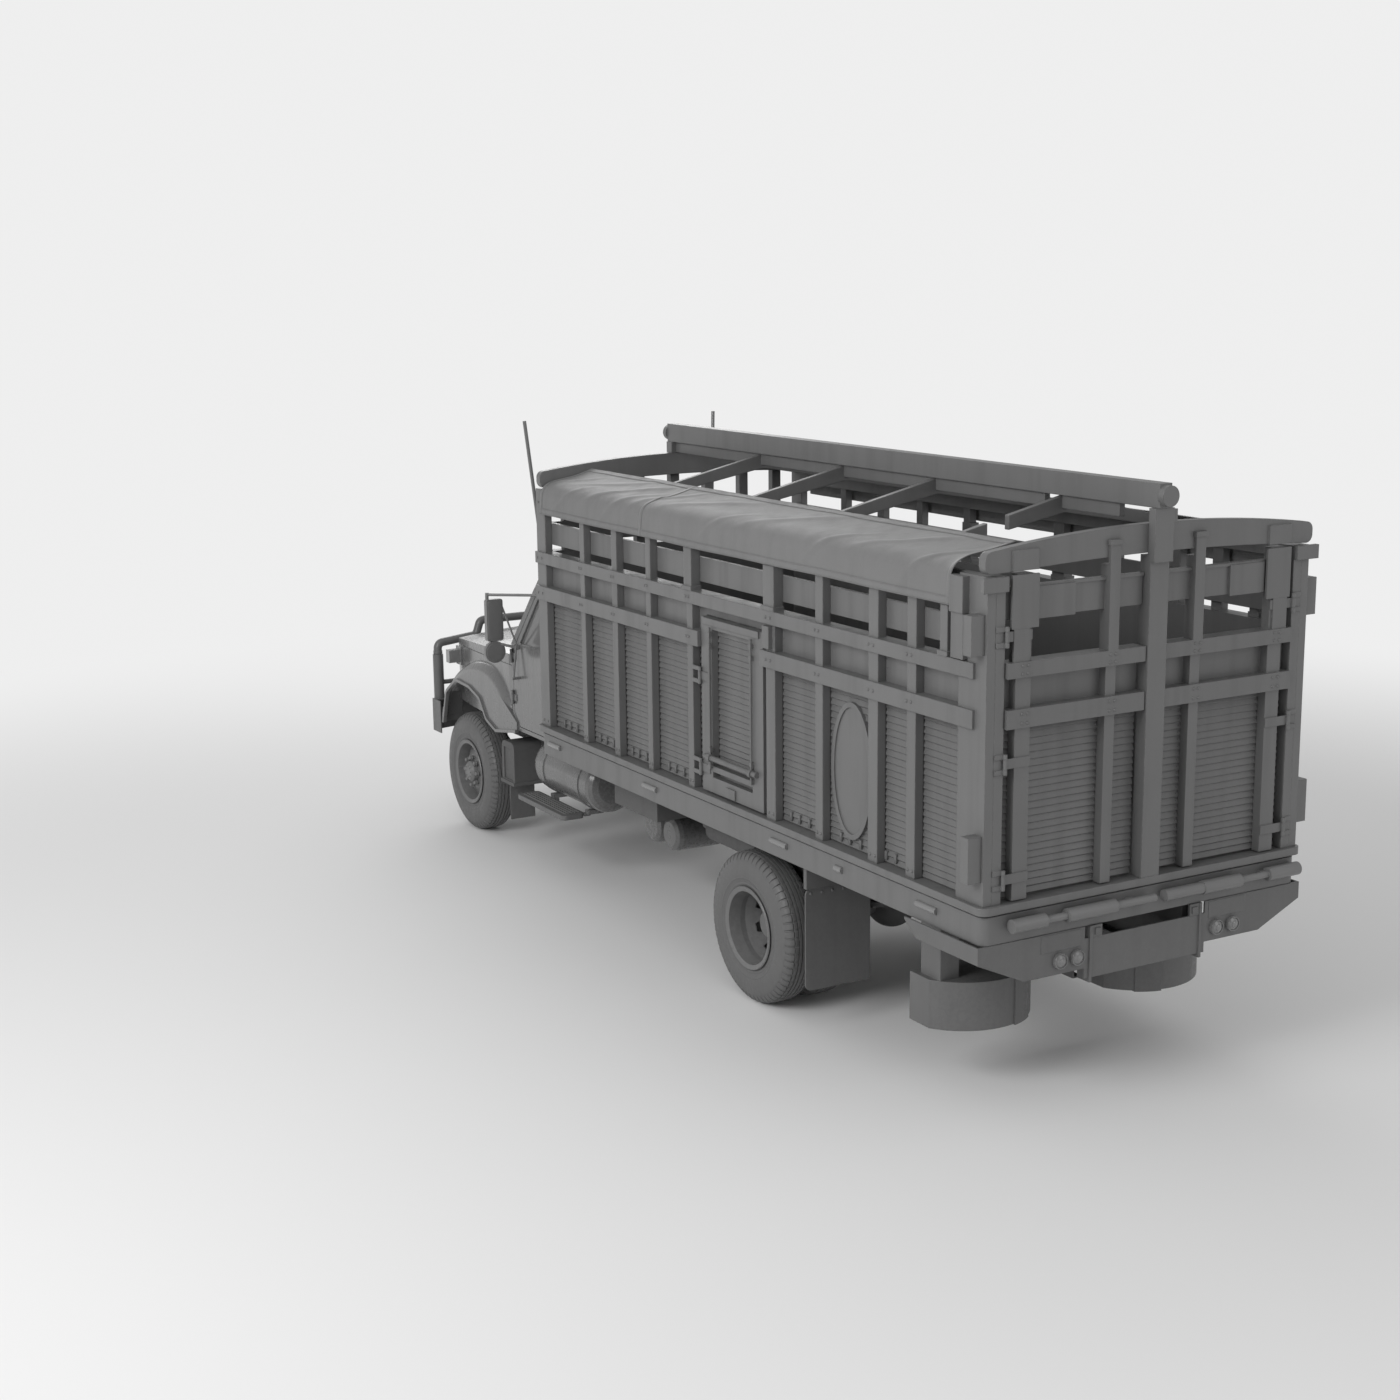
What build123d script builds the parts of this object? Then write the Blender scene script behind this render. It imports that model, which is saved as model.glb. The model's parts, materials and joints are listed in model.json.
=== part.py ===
from build123d import *
import math
import os

# A two-axle conventional-cab cargo truck with a slatted stake body.
# Millimetres. +X forward, +Y to the truck's left, +Z up, the floor at z = 0.

# Driving lengths of the whole truck
box_rear = -4300
box_length = 5790
box_half = 1220
box_front = box_rear + box_length
cab_gap = 110
cab_length = 960
cab_rear = box_front + cab_gap
cab_front = cab_rear + cab_length
rear_overhang = 2641
axle_ahead = 1008
nose_length = 1560
rear_axle_x = box_rear + rear_overhang
front_axle_x = cab_front + axle_ahead
nose_x = cab_front + nose_length
seat_gap = 0.3
panel_lap = 2

# Wheels and tyres
tyre_r = 532
tyre_w = 270
bead_r = 280
flange_r = 292
rim_w = 230
front_tyre_y = 850
dual_outer_y = 1069
dual_inner_y = 755
spindle_r = 40
spindle_gap = 0.6
drum_r = 200
drum_w = 120
wheel_nuts = 8

# Chassis rails and their cross members
rail_top = 1000
rail_height = 230
rail_flange = 70
rail_wall = 9
rail_outer = 420
rail_rear = box_rear + 150
rail_front = nose_x + 140
runner_height = 130

# Body levels
bearer_height = 180
bearer_bottom = rail_top + runner_height
deck_bottom = bearer_bottom + bearer_height
deck_thick = 35
sill_top = 1385
sill_drop = 235
sill_half = box_half + 30
deck_half = box_half - 100
bearer_half = deck_half + 30
rail2_low = 2410
rail2_high = 2520
rail1_low = 2700
rail1_high = 2790
post_top = 3285

# Side wall make-up
post_deep = 60
panel_thick = 30
panel_out = box_half - post_deep
panel_in = panel_out - panel_thick
rail_proud = 20
slat_pitch = 42
slat_step = 11
board_low = 2850
board_high = 3020

# Side door on the left wall
door_rear = box_rear + 2400
door_front = box_rear + 3210
door_low = 1400
door_high = 2625
door_gap = 6

# Roof members
arch_high = 170
arch_thick = 60
arch_half = box_half + 20
arch_top_mid = 3505
arch_top_end = 3420
pole_low = 3593
pole_high = 3736
pole_thick = 90
bow_depth = 105
bow_thick = 40
bow_peak = 3590
bow_slope = 0.225
purlin_depth = 80

# Cab
cab_half = 985
cab_floor_z = 1120
cab_belt = 1860
cab_eave = 2360
cab_top = 2430
cab_wall = 45
gearbox_rear = cab_front - 180
seat_low = 1340
roof_half = 870
roof_rear = cab_rear + 50
roof_front = cab_front - 250
glass_thick = 6

# Front end
fender_half = 1000
fender_inner = 800
seam_front = cab_belt - 240
seam_rear = cab_belt - 200
hood_rear = cab_front + 110
bumper_low = 780
bumper_high = 1080
bumper_front = nose_x + 270
bumper_deep = 180
bar_x = nose_x + 185
bar_r = 38
bar_y = 935
sleeve_r = 48
tow_x = nose_x + 190
tow_y = 385
tow_z = 735
tow_r = 20
tow_thick = 26

# Hinges of the gates and doors
hinge_r = 13
hinge_pin = 6
hinge_long = 120
hinge_ear = 30

# Steering
kingpin_y = 640
kingpin_r = 18
arm_length = 200
arm_y = kingpin_y

os.makedirs("parts", exist_ok=True)


def block(x, y, z, mode=Mode.ADD):
    """A box between two x, two y and two z values."""
    with Locations(((x[0] + x[1]) / 2, (y[0] + y[1]) / 2, (z[0] + z[1]) / 2)):
        Box(abs(x[1] - x[0]), abs(y[1] - y[0]), abs(z[1] - z[0]), mode=mode)


def pair(x, y, z, mode=Mode.ADD):
    """The same box on the left and, mirrored, on the right."""
    block(x, y, z, mode)
    block(x, (-y[1], -y[0]), z, mode)


def rod(start, end, r, mode=Mode.ADD):
    """A round bar between two points."""
    a, b = Vector(*start), Vector(*end)
    with BuildSketch(Plane(origin=a, z_dir=b - a)) as section:
        Circle(r)
    extrude(section.sketch, amount=(b - a).length, mode=mode)


def side_plate(points, y0, y1, mode=Mode.ADD):
    """An outline given in (x, z), as thick as from y0 to y1."""
    with BuildSketch(Plane.XZ.offset(-y1)) as outline:
        with BuildLine():
            Polyline(*points, close=True)
        make_face()
    extrude(outline.sketch, amount=y1 - y0, dir=(0, -1, 0), mode=mode)


def cross_plate(points, x0, x1, mode=Mode.ADD):
    """An outline given in (y, z), as thick as from x0 to x1."""
    with BuildSketch(Plane.YZ.offset(x0)) as outline:
        with BuildLine():
            Polyline(*points, close=True)
        make_face()
    extrude(outline.sketch, amount=x1 - x0, dir=(1, 0, 0), mode=mode)


def plan_plate(points, z0, z1, mode=Mode.ADD):
    """An outline given in (x, y), as thick as from z0 to z1."""
    with BuildSketch(Plane.XY.offset(z0)) as outline:
        with BuildLine():
            Polyline(*points, close=True)
        make_face()
    extrude(outline.sketch, amount=z1 - z0, dir=(0, 0, 1), mode=mode)


def turned(x, z, points, mode=Mode.ADD):
    """A profile of (y, radius) points turned about the axle line at x, z."""
    with BuildSketch(Plane(origin=(x, 0, z), x_dir=(0, 1, 0), z_dir=(1, 0, 0))) as profile:
        with BuildLine():
            Polyline(*points, close=True)
        make_face()
    revolve(profile.sketch, axis=Axis((x, 0, z), (0, 1, 0)), mode=mode)


def save(shape, label):
    """Names a finished piece and writes it."""
    shape.label = label
    export_step(shape, f"parts/{label}.step")


def hinge_fixed(start, end):
    """The fixed half of a hinge: an ear at each end and the pin through both."""
    a, b = Vector(*start), Vector(*end)
    way = (b - a).normalized()
    rod(a, a + way * hinge_ear, hinge_r)
    rod(b - way * hinge_ear, b, hinge_r)
    rod(a, b, hinge_pin)


def hinge_moving(start, end):
    """The moving half of a hinge: the barrel between the fixed ears."""
    a, b = Vector(*start), Vector(*end)
    way = (b - a).normalized()
    rod(a + way * (hinge_ear + 1), b - way * (hinge_ear + 1), hinge_r)
    rod(a, b, hinge_pin + 0.4, Mode.SUBTRACT)


def mirrored(shape):
    """The same piece on the truck's right."""
    with BuildPart() as twin:
        add(shape)
        mirror(about=Plane.XZ, mode=Mode.REPLACE)
    return twin.part


def slat_profile(out, back, low, high, flat_from):
    """Points of a wall board in (depth, z): shutter slats with flat boards above."""
    points = [(back, low), (out - slat_step, low)]
    count = int((flat_from - low) / slat_pitch)
    for i in range(count):
        base = low + i * slat_pitch
        points.append((out, base + slat_step))
        points.append((out - slat_step, base + slat_pitch))
    top = low + count * slat_pitch
    points += [(out, top + slat_step), (out, high), (back, high)]
    return points


# Chassis: two channel rails tied by cross members
rail_low = rail_top - rail_height
member_x = [
    rail_rear + 60,
    box_rear + 1500,
    box_rear + 3700,
    box_front - 490,
    cab_front - 280,
    rail_front - 90,
]
member_half = rail_outer - rail_wall
with BuildPart() as chassis_frame:
    for side in (1, -1):
        section = [
            (side * rail_outer, rail_low),
            (side * rail_outer, rail_top),
            (side * (rail_outer - rail_flange), rail_top),
            (side * (rail_outer - rail_flange), rail_top - rail_wall),
            (side * (rail_outer - rail_wall), rail_top - rail_wall),
            (side * (rail_outer - rail_wall), rail_low + rail_wall),
            (side * (rail_outer - rail_flange), rail_low + rail_wall),
            (side * (rail_outer - rail_flange), rail_low),
        ]
        cross_plate(section, rail_rear, rail_front)
    for x in member_x:
        block((x - 50, x + 50), (-member_half, member_half), (rail_low + 60, rail_top - 60))
save(chassis_frame.part, "chassis_frame")

# Cross bearers and the two long runners that carry the body on the rails
bearer_count = 10
bearer_wide = 60
bearer_first = box_rear + 160
bearer_pitch = (box_length - 320) / (bearer_count - 1)
with BuildPart() as bearers:
    pair((box_rear + 60, box_front - 60), (rail_outer - rail_flange, rail_outer), (rail_top, bearer_bottom))
    for i in range(bearer_count):
        x = bearer_first + i * bearer_pitch
        reach = (x - bearer_wide / 2, x + bearer_wide / 2)
        block(reach, (-bearer_half, bearer_half), (bearer_bottom, deck_bottom))
save(bearers.part, "bearers")

with BuildPart() as deck:
    block((box_rear + 100, box_front - 100), (-deck_half, deck_half), (deck_bottom, deck_bottom + deck_thick))
    plank = 160
    joints = int((deck_half - 82) / plank)
    for i in range(-joints, joints + 1):
        block(
            (box_rear + 100, box_front - 100),
            (i * plank + 78, i * plank + 82),
            (deck_bottom + deck_thick - 6, deck_bottom + deck_thick),
            Mode.SUBTRACT,
        )
save(deck.part, "deck")

# The moulded sill all round the deck: a ledge, a groove and a lower skirt
corner_r = 55
sill_bands = [
    # low, high, outward reach
    (sill_top - sill_drop, sill_top - 65, sill_half - 25),
    (sill_top - 65, sill_top - 48, sill_half - 38),
    (sill_top - 48, sill_top, sill_half),
]
with BuildPart() as deck_sill:
    for low, high, reach in sill_bands:
        out = reach - box_half
        with BuildSketch(Plane.XY.offset(low)):
            with Locations(((box_rear + box_front) / 2, 0)):
                RectangleRounded(box_length + 2 * out, 2 * reach, corner_r)
                Rectangle(box_length - 200, 2 * deck_half, mode=Mode.SUBTRACT)
        extrude(amount=high - low)
    notch = (deck_half - 1, bearer_half + 1)
    pair((box_rear + 100, box_front - 100), notch, (sill_top - sill_drop, deck_bottom), Mode.SUBTRACT)
save(deck_sill.part, "deck_sill")

# Side wall frames: upright stakes and two long rails
stakes = [
    # centre from the rear plane, width
    (box_length - 75, 150),
    (5005, 70),
    (4480, 80),
    (3955, 70),
    (3355, 75),
    (2290, 110),
    (1710, 85),
    (1110, 100),
    (715, 90),
]
corner_deep = 260
corner_wide = 125
rail_out = box_half + rail_proud
proud_stakes = [(3355, 105), (2290, 130), (385, 70)]
stop_x = box_rear + 2300
post_in = 110
front_in = box_front - post_deep - panel_thick
side_hinge = (door_front + door_gap / 2, box_half + 4)
side_hinge_low = (1500, 2150)
jamb_rear = box_rear + 3355 - 75 / 2
tarp_hem = 3095
plaque_x = box_rear + 1410
plaque_z = 1890
plaque_wide = 225
plaque_tall = 440


def wall_frame(with_door):
    """The stakes and rails of one side wall, on the left."""
    with BuildPart() as frame:
        for centre, width in stakes:
            x = box_rear + centre
            block((x - width / 2, x + width / 2), (panel_out, box_half), (sill_top, post_top))
        block((box_rear, box_rear + corner_deep), (panel_out, box_half), (sill_top, post_top))
        for centre, width in proud_stakes:
            x = box_rear + centre
            foot = (x - width / 2 - 12, x + width / 2 + 12)
            block((x - width / 2, x + width / 2), (panel_out, box_half + 14), (rail1_high, tarp_hem - 8))
            block(foot, (panel_out, rail_out + 6), (rail1_high, rail1_high + 30))
        block((box_rear + 175, box_rear + 290), (box_half, box_half + 36), (2800, 3275))
        block((box_rear + 165, box_rear + 292), (box_half, box_half + 50), (3065, 3275))
        block((box_rear + 100, box_front), (panel_out, rail_out), (rail1_low, rail1_high))
        if with_door:
            block((box_rear + 100, door_rear - door_gap), (panel_out, rail_out), (rail2_low, rail2_high))
            block((door_front + door_gap, box_front), (panel_out, rail_out), (rail2_low, rail2_high))
            block((stop_x - 40, stop_x + 40), (box_half - 1, box_half + 34), (rail2_high + 20, rail1_low - 12))
            for low in side_hinge_low:
                for base in (low, low + hinge_long - hinge_ear):
                    block((side_hinge[0], jamb_rear), (box_half - 6, box_half + 6), (base, base + hinge_ear))
                hinge_fixed((*side_hinge, low), (*side_hinge, low + hinge_long))
        else:
            block((box_rear + 100, box_front), (panel_out, rail_out), (rail2_low, rail2_high))
    return frame.part


save(wall_frame(True), "wall_frame_left")
save(mirrored(wall_frame(False)), "wall_frame_right")


def wall_panel(with_door):
    """Slatted lower boards, the flat band and the single upper board of one side wall."""
    profile = slat_profile(panel_out, panel_in, sill_top, rail1_high, rail2_low)
    with BuildPart() as panel:
        cross_plate(profile, box_rear + post_in, front_in)
        block((box_rear + post_in, front_in), (panel_in, panel_out), (board_low, board_high))
        block((box_rear + post_in, front_in), (panel_in, panel_out), (post_top - 85, post_top))
        if with_door:
            block(
                (door_rear - door_gap, door_front + door_gap),
                (panel_in - 1, panel_out + 1),
                (sill_top - 1, door_high + door_gap),
                Mode.SUBTRACT,
            )
            for grow, out in ((0, 18), (-34, 8)):
                mode = Mode.ADD if grow == 0 else Mode.SUBTRACT
                with BuildSketch(Plane.XZ.offset(-(panel_out + 18))) as oval:
                    with Locations((plaque_x, plaque_z)):
                        Ellipse(plaque_wide + grow, plaque_tall + grow)
                depth = 18 + slat_step + 1 if grow == 0 else 10
                extrude(oval.sketch, amount=depth, dir=(0, -1, 0), mode=mode)
    return panel.part


save(wall_panel(True), "wall_panel_left")
save(mirrored(wall_panel(False)), "wall_panel_right")

# Side door: two stiles, three rails, a slatted middle, a grab bar and two rods in clips
stile = 140
bar_level = 1650
door_out = box_half - 10
with BuildPart() as side_door:
    for low, high in ((door_low, door_low + 110), (door_low + 150, door_low + 190), (door_high - 75, door_high)):
        block((door_rear, door_front), (panel_out - panel_lap, door_out), (low, high))
    block((door_front - stile, door_front), (panel_out - panel_lap, door_out), (door_low, door_high))
    block((door_rear, door_rear + stile), (panel_out - panel_lap, door_out), (door_low, door_high))
    block((door_rear + 40, door_front - 40), (door_out - 1, door_out + 14), (door_high - 45, door_high))
    rod((door_rear + 60, door_out + 16, bar_level), (door_front - 60, door_out + 16, bar_level), 20)
    for x in (door_rear + stile - 8, door_front - stile + 8):
        rod((x, door_out + 16, bar_level - 70), (x, door_out + 16, door_high - 60), 8)
        for z in (bar_level - 60, bar_level + 60, door_high - 190, door_high - 110):
            block((x - 16, x + 16), (door_out - 1, door_out + 26), (z - 14, z + 14))
        rod((x - 18, door_out + 16, bar_level), (x + 18, door_out + 16, bar_level), 30)
    block((door_front - 450, door_front - 330), (door_out - 1, door_out + 12), (door_low + 8, door_low + 78))
    cross_plate(
        slat_profile(panel_out, panel_in, door_low, door_high, door_high - 100),
        door_rear,
        door_front,
    )
    for low in side_hinge_low:
        strap = (low + hinge_ear + 1, low + hinge_long - hinge_ear - 1)
        block((door_front - 110, side_hinge[0]), (door_out, box_half - 2), strap)
        hinge_moving((*side_hinge, low), (*side_hinge, low + hinge_long))
save(side_door.part, "side_door")

# Front wall between the corner stakes, which end under the front arch
front_posts = [0, 320, 650, 970]
arch_low_mid = arch_top_mid - arch_high
arch_low_end = arch_top_end - arch_high * 0.75
with BuildPart() as front_wall:
    with BuildSketch(Plane.XZ.offset(-deck_half)):
        with BuildLine():
            outline = slat_profile(panel_thick, 0, sill_top, rail1_high, rail2_low)
            Polyline(*[(front_in + depth, z) for depth, z in outline], close=True)
        make_face()
    extrude(amount=2 * deck_half)
    block((front_in, front_in + panel_thick), (-deck_half, deck_half), (board_low, board_high))
    for y in front_posts:
        top = arch_low_mid - (arch_low_mid - arch_low_end) * ((y + 40) / arch_half) ** 2 - 1
        for side in (1, -1) if y else (1,):
            span = (side * y - 40, side * y + 40)
            block((front_in + panel_thick - panel_lap, box_front), span, (sill_top, top))
    for low, high in ((rail2_low, rail2_high), (rail1_low, rail1_high)):
        rail = (front_in + panel_thick - panel_lap, box_front + rail_proud)
        block(rail, (10 - deck_half, deck_half - 10), (low, high))
save(front_wall.part, "front_wall")

# Rear corner posts with their caps and side brackets, and the fixed centre post
centre_half = 70
pole_rear = box_rear - 60
gate_hinge = (box_rear - hinge_r - 1, box_half - corner_wide - 4)
gate_hinge_low = (1470, 2150, 2880)
with BuildPart() as rear_posts:
    for side in (1, -1):
        ys = sorted((side * (box_half - corner_wide), side * (box_half - post_deep)))
        block((box_rear, box_rear + post_in), ys, (sill_top, post_top))
        for low, high in ((2845, 3075), (1530, 1800)):
            ys = sorted((side * box_half, side * (box_half + 95)))
            block((box_rear + 20, box_rear + 95), ys, (low, high))
        ys = sorted((side * (box_half - corner_wide), side * (box_half + 50)))
        block((box_rear - 30, box_rear), ys, (post_top - 85, post_top))
        for low in gate_hinge_low:
            for base in (low, low + hinge_long - hinge_ear):
                ys = sorted((side * gate_hinge[1], side * (box_half - post_deep)))
                block((box_rear - 8, box_rear), ys, (base, base + hinge_ear))
            foot = (gate_hinge[0], side * gate_hinge[1], low)
            hinge_fixed(foot, (foot[0], foot[1], low + hinge_long))
    block((box_rear - 30, box_rear + 60), (-centre_half, centre_half), (sill_top, 3320))
    block((pole_rear, box_rear - 1), (-centre_half, centre_half), (3280, pole_low))
    block((pole_rear + 10, box_rear - 10), (-centre_half - 34, -centre_half), (3500, pole_low - 10))
save(rear_posts.part, "rear_posts")

# Rear gate leaf, on the left: two stakes, two rails and slatted boards
leaf_in = centre_half + 8
leaf_out = box_half - corner_wide - 8
leaf_low = sill_top + 8
leaf_stakes = [(leaf_out - 179, leaf_out - 71), (286, 361)]


def gate_leaf():
    """One leaf of the rear gate, on the left."""
    with BuildPart() as leaf:
        with BuildSketch(Plane.XZ.offset(-leaf_out)):
            with BuildLine():
                outline = slat_profile(panel_thick, 0, leaf_low, rail1_high, rail2_low)
                back = box_rear + post_deep + panel_thick
                Polyline(*[(back - depth, z) for depth, z in outline], close=True)
            make_face()
        extrude(amount=leaf_out - leaf_in)
        for low, high in leaf_stakes:
            block((box_rear, box_rear + post_deep + panel_lap), (low, high), (leaf_low, 3290))
        block((box_rear - rail_proud, box_rear), leaf_stakes[1], (rail1_high, 3430))
        cap = (leaf_stakes[1][0] - 8, leaf_stakes[1][1] + 8)
        block((box_rear - rail_proud - 8, box_rear - 1), cap, (3402, 3432))
        for low, high in ((rail2_low, rail2_high), (rail1_low, rail1_high)):
            block((box_rear - rail_proud, box_rear + post_deep + panel_lap), (leaf_in, leaf_out), (low, high))
        block((box_rear + 28, box_rear + post_deep + panel_lap), (leaf_in, leaf_out), (3030, 3200))
        block((box_rear + 16, box_rear + post_deep + panel_lap), (leaf_in, leaf_out), (3200, 3218))
        block((box_rear + 8, box_rear + post_deep + panel_lap), (590, 865), (3022, 3206))
        plate = (leaf_stakes[0][0] - 40, leaf_out - 28)
        block((box_rear - 14, box_rear + 2), plate, (2980, 3285))
        block((box_rear - 12, box_rear + 2), (plate[0] + 60, plate[1] - 18), (2790, 2980))
        for low in gate_hinge_low:
            strap = (low + hinge_ear + 1, low + hinge_long - hinge_ear - 1)
            block((box_rear - 8, box_rear), (leaf_stakes[0][0], gate_hinge[1]), strap)
            hinge_moving((*gate_hinge, low), (*gate_hinge, low + hinge_long))
    return leaf.part


leaf_left = gate_leaf()
save(leaf_left, "gate_left")
save(mirrored(leaf_left), "gate_right")

# Roof: curved end arches, sloping bows, the purlin under the ridge
bow_stations = [4370, 3246, 2149, 852]
arch_front = box_front - 60 - arch_thick
wall_top = panel_out
arch_round = 50


def arch(x):
    """A curved top board across the body, its ends rounded."""
    with BuildSketch(Plane.YZ.offset(x)) as board:
        with BuildLine():
            low = arch_top_mid - arch_high
            ThreePointArc((-arch_half, arch_top_end), (0, arch_top_mid), (arch_half, arch_top_end))
            Line((arch_half, arch_top_end), (arch_half, arch_top_end - arch_high * 0.75))
            ThreePointArc(
                (arch_half, arch_top_end - arch_high * 0.75),
                (0, low),
                (-arch_half, arch_top_end - arch_high * 0.75),
            )
            Line((-arch_half, arch_top_end - arch_high * 0.75), (-arch_half, arch_top_end))
        make_face()
        fillet(board.vertices(), arch_round)
    extrude(board.sketch, amount=arch_thick, dir=(1, 0, 0))


with BuildPart() as roof_frame:
    arch(box_rear)
    arch(arch_front)
    for side in (1, -1):
        block((box_rear - 14, box_rear + 1), sorted((side * 875, side * 1055)), (3308, 3425))
    for station in bow_stations:
        x = box_rear + station
        for side in (1, -1):
            top_end = bow_peak - wall_top * bow_slope
            points = [
                (0, bow_peak),
                (side * wall_top, top_end),
                (side * wall_top, post_top),
                (side * (wall_top - 60), post_top),
                (0, bow_peak - bow_depth),
            ]
            cross_plate(points, x - bow_thick / 2, x + bow_thick / 2)
    block((box_rear + 1000, arch_front), (-20, 20), (bow_peak - purlin_depth, bow_peak))
    block((box_rear + 310, box_rear + 852), (-20, 20), (bow_peak - purlin_depth, bow_peak))
    block((box_rear + 800, box_rear + 900), (428, 591), (3300, 3600), Mode.SUBTRACT)
save(roof_frame.part, "roof_frame")

with BuildPart() as ridge_pole:
    block((pole_rear, box_front - 30), (-pole_thick / 2, pole_thick / 2), (pole_low, pole_high))
    block((box_front - 120, box_front - 40), (-80, 60), (arch_top_mid + 1, pole_low))
    for x, way in ((pole_rear, -1), (box_front - 30, 1)):
        rod((x, 0, (pole_low + pole_high) / 2), (x + way * 45, 0, (pole_low + pole_high) / 2), 62)
save(ridge_pole.part, "ridge_pole")

# Tarpaulin rolled over the top of each side wall
tarp_rear = box_rear + 300
tarp_front = box_front - 140
tarp_thick = 12
with BuildPart() as tarp_left:
    lift = seat_gap
    fold_z = post_top + lift
    ridge_y = 790
    ridge_z = bow_peak - ridge_y * bow_slope + lift
    outline = [
        (ridge_y, ridge_z),
        (wall_top, bow_peak - wall_top * bow_slope + lift),
        (box_half + 1, fold_z),
        (rail_out + lift, tarp_hem),
        (rail_out + lift + tarp_thick, tarp_hem),
        (box_half + 1 + tarp_thick, fold_z + tarp_thick),
        (wall_top, bow_peak - wall_top * bow_slope + lift + tarp_thick * 1.3),
        (ridge_y, ridge_z + tarp_thick),
    ]
    cross_plate(outline, tarp_rear, tarp_front)
save(tarp_left.part, "tarp_left")
save(mirrored(tarp_left.part), "tarp_right")

# Cab shell: straight sides to the belt, then the glasshouse leans in to the eaves
with BuildPart() as cab_form:
    block((cab_rear, cab_front), (-cab_half, cab_half), (cab_floor_z, cab_belt))
    with BuildSketch(Plane.XY.offset(cab_belt)):
        with Locations(((cab_rear + cab_front) / 2, 0)):
            Rectangle(cab_front - cab_rear, 2 * cab_half)
    with BuildSketch(Plane.XY.offset(cab_eave)):
        with Locations(((roof_rear + roof_front) / 2, 0)):
            Rectangle(roof_front - roof_rear, 2 * roof_half)
    loft()
    inside_x = (cab_rear + cab_wall, cab_front - cab_wall)
    block(inside_x, (cab_wall - cab_half, cab_half - cab_wall), (cab_floor_z, cab_belt), Mode.SUBTRACT)
    with BuildSketch(Plane.XY.offset(cab_belt)):
        with Locations(((cab_rear + cab_front) / 2, 0)):
            Rectangle(cab_front - cab_rear - 2 * cab_wall, 2 * (cab_half - cab_wall))
    with BuildSketch(Plane.XY.offset(cab_eave)):
        with Locations(((roof_rear + roof_front) / 2, 0)):
            Rectangle(roof_front - roof_rear - 2 * cab_wall, 2 * (roof_half - cab_wall))
    loft(mode=Mode.SUBTRACT)

# Door outline in (x, z), front edge stepped back round the fender's tail
cab_door_rear = cab_rear + 100
cab_door_front = cab_front - 30
cab_door_low = 1160
lean = (cab_front - roof_front) / (cab_eave - cab_belt)
frame_top = cab_eave - 40
pillar = 75


def door_outline(grow):
    """The cab door's outline, let out by a gap."""
    return [
        (cab_door_rear - grow, cab_door_low - grow),
        (cab_door_front - 110 + grow, cab_door_low - grow),
        (cab_door_front + grow, cab_door_low + 120 - grow),
        (cab_door_front + grow, cab_belt - 40 + grow),
        (cab_front - pillar - 10 + grow, cab_belt + grow),
        (cab_front - pillar - 10 - lean * (frame_top - cab_belt) + grow, frame_top + grow),
        (cab_door_rear - grow, frame_top + grow),
    ]


window_low = cab_belt + 25
window_high = frame_top - 45
window = [
    (cab_door_rear + 50, window_low),
    (cab_front - pillar - 75 - lean * 25, window_low),
    (cab_front - pillar - 65 - lean * (window_high - cab_belt), window_high),
    (cab_door_rear + 50, window_high),
]
cab_hinge = (cab_door_front + door_gap / 2, cab_half + hinge_r + 1)
cab_hinge_low = (cab_floor_z + 220, cab_belt - 160)
with BuildPart() as cab_shell:
    add(cab_form.part)
    for y0, y1 in ((roof_half - 120, cab_half + 1), (-cab_half - 1, 120 - roof_half)):
        side_plate(door_outline(door_gap), y0, y1, Mode.SUBTRACT)
    pair((cab_front - cab_wall, cab_front), (roof_half - 130, cab_half - cab_wall), (cab_floor_z, cab_belt - 60))
    shield = [(-860, cab_belt + 20), (860, cab_belt + 20), (765, cab_eave - 40), (-765, cab_eave - 40)]
    cross_plate(shield, roof_front - cab_wall - 20, cab_front + 1, Mode.SUBTRACT)
    rear_light = [(-560, cab_belt + 60), (560, cab_belt + 60), (560, cab_eave - 80), (-560, cab_eave - 80)]
    cross_plate(rear_light, cab_rear - 1, roof_rear + cab_wall + 5, Mode.SUBTRACT)
    for side in (1, -1):
        for low in cab_hinge_low:
            for base in (low, low + hinge_long - hinge_ear):
                ys = sorted((side * (cab_half - 4), side * (cab_half + 8)))
                block((cab_hinge[0], cab_front), ys, (base, base + hinge_ear))
            foot = (cab_hinge[0], side * cab_hinge[1], low)
            hinge_fixed(foot, (foot[0], foot[1], low + hinge_long))
save(cab_shell.part, "cab_shell")

with BuildPart() as door_left:
    add(cab_form.part)
    side_plate(door_outline(0), roof_half - 120, cab_half + 1, Mode.INTERSECT)
    side_plate(window, roof_half - 120, cab_half + 1, Mode.SUBTRACT)
    block((cab_rear, cab_front), (0, cab_half - cab_wall), (cab_floor_z, cab_belt), Mode.SUBTRACT)
    for low in cab_hinge_low:
        strap = (low + hinge_ear + 1, low + hinge_long - hinge_ear - 1)
        block((cab_hinge[0] - 60, cab_hinge[0]), (cab_half - 4, cab_half + 8), strap)
        hinge_moving((*cab_hinge, low), (*cab_hinge, low + hinge_long))
save(door_left.part, "door_left")
save(mirrored(door_left.part), "door_right")

side_lean = (cab_half - roof_half) / (cab_eave - cab_belt)


def side_glass():
    """The pane in the left door, seated in the window's edge."""
    with BuildPart() as pane:
        for z in (cab_belt, cab_eave):
            y = cab_half - cab_wall / 2 - side_lean * (z - cab_belt)
            with BuildSketch(Plane.XY.offset(z)):
                with Locations(((cab_rear + cab_front) / 2, y)):
                    Rectangle(1200, glass_thick)
        loft()
        side_plate(window, roof_half - 160, cab_half + 1, Mode.INTERSECT)
    return pane.part


glass_left = side_glass()
save(glass_left, "door_glass_left")
save(mirrored(glass_left), "door_glass_right")

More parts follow.
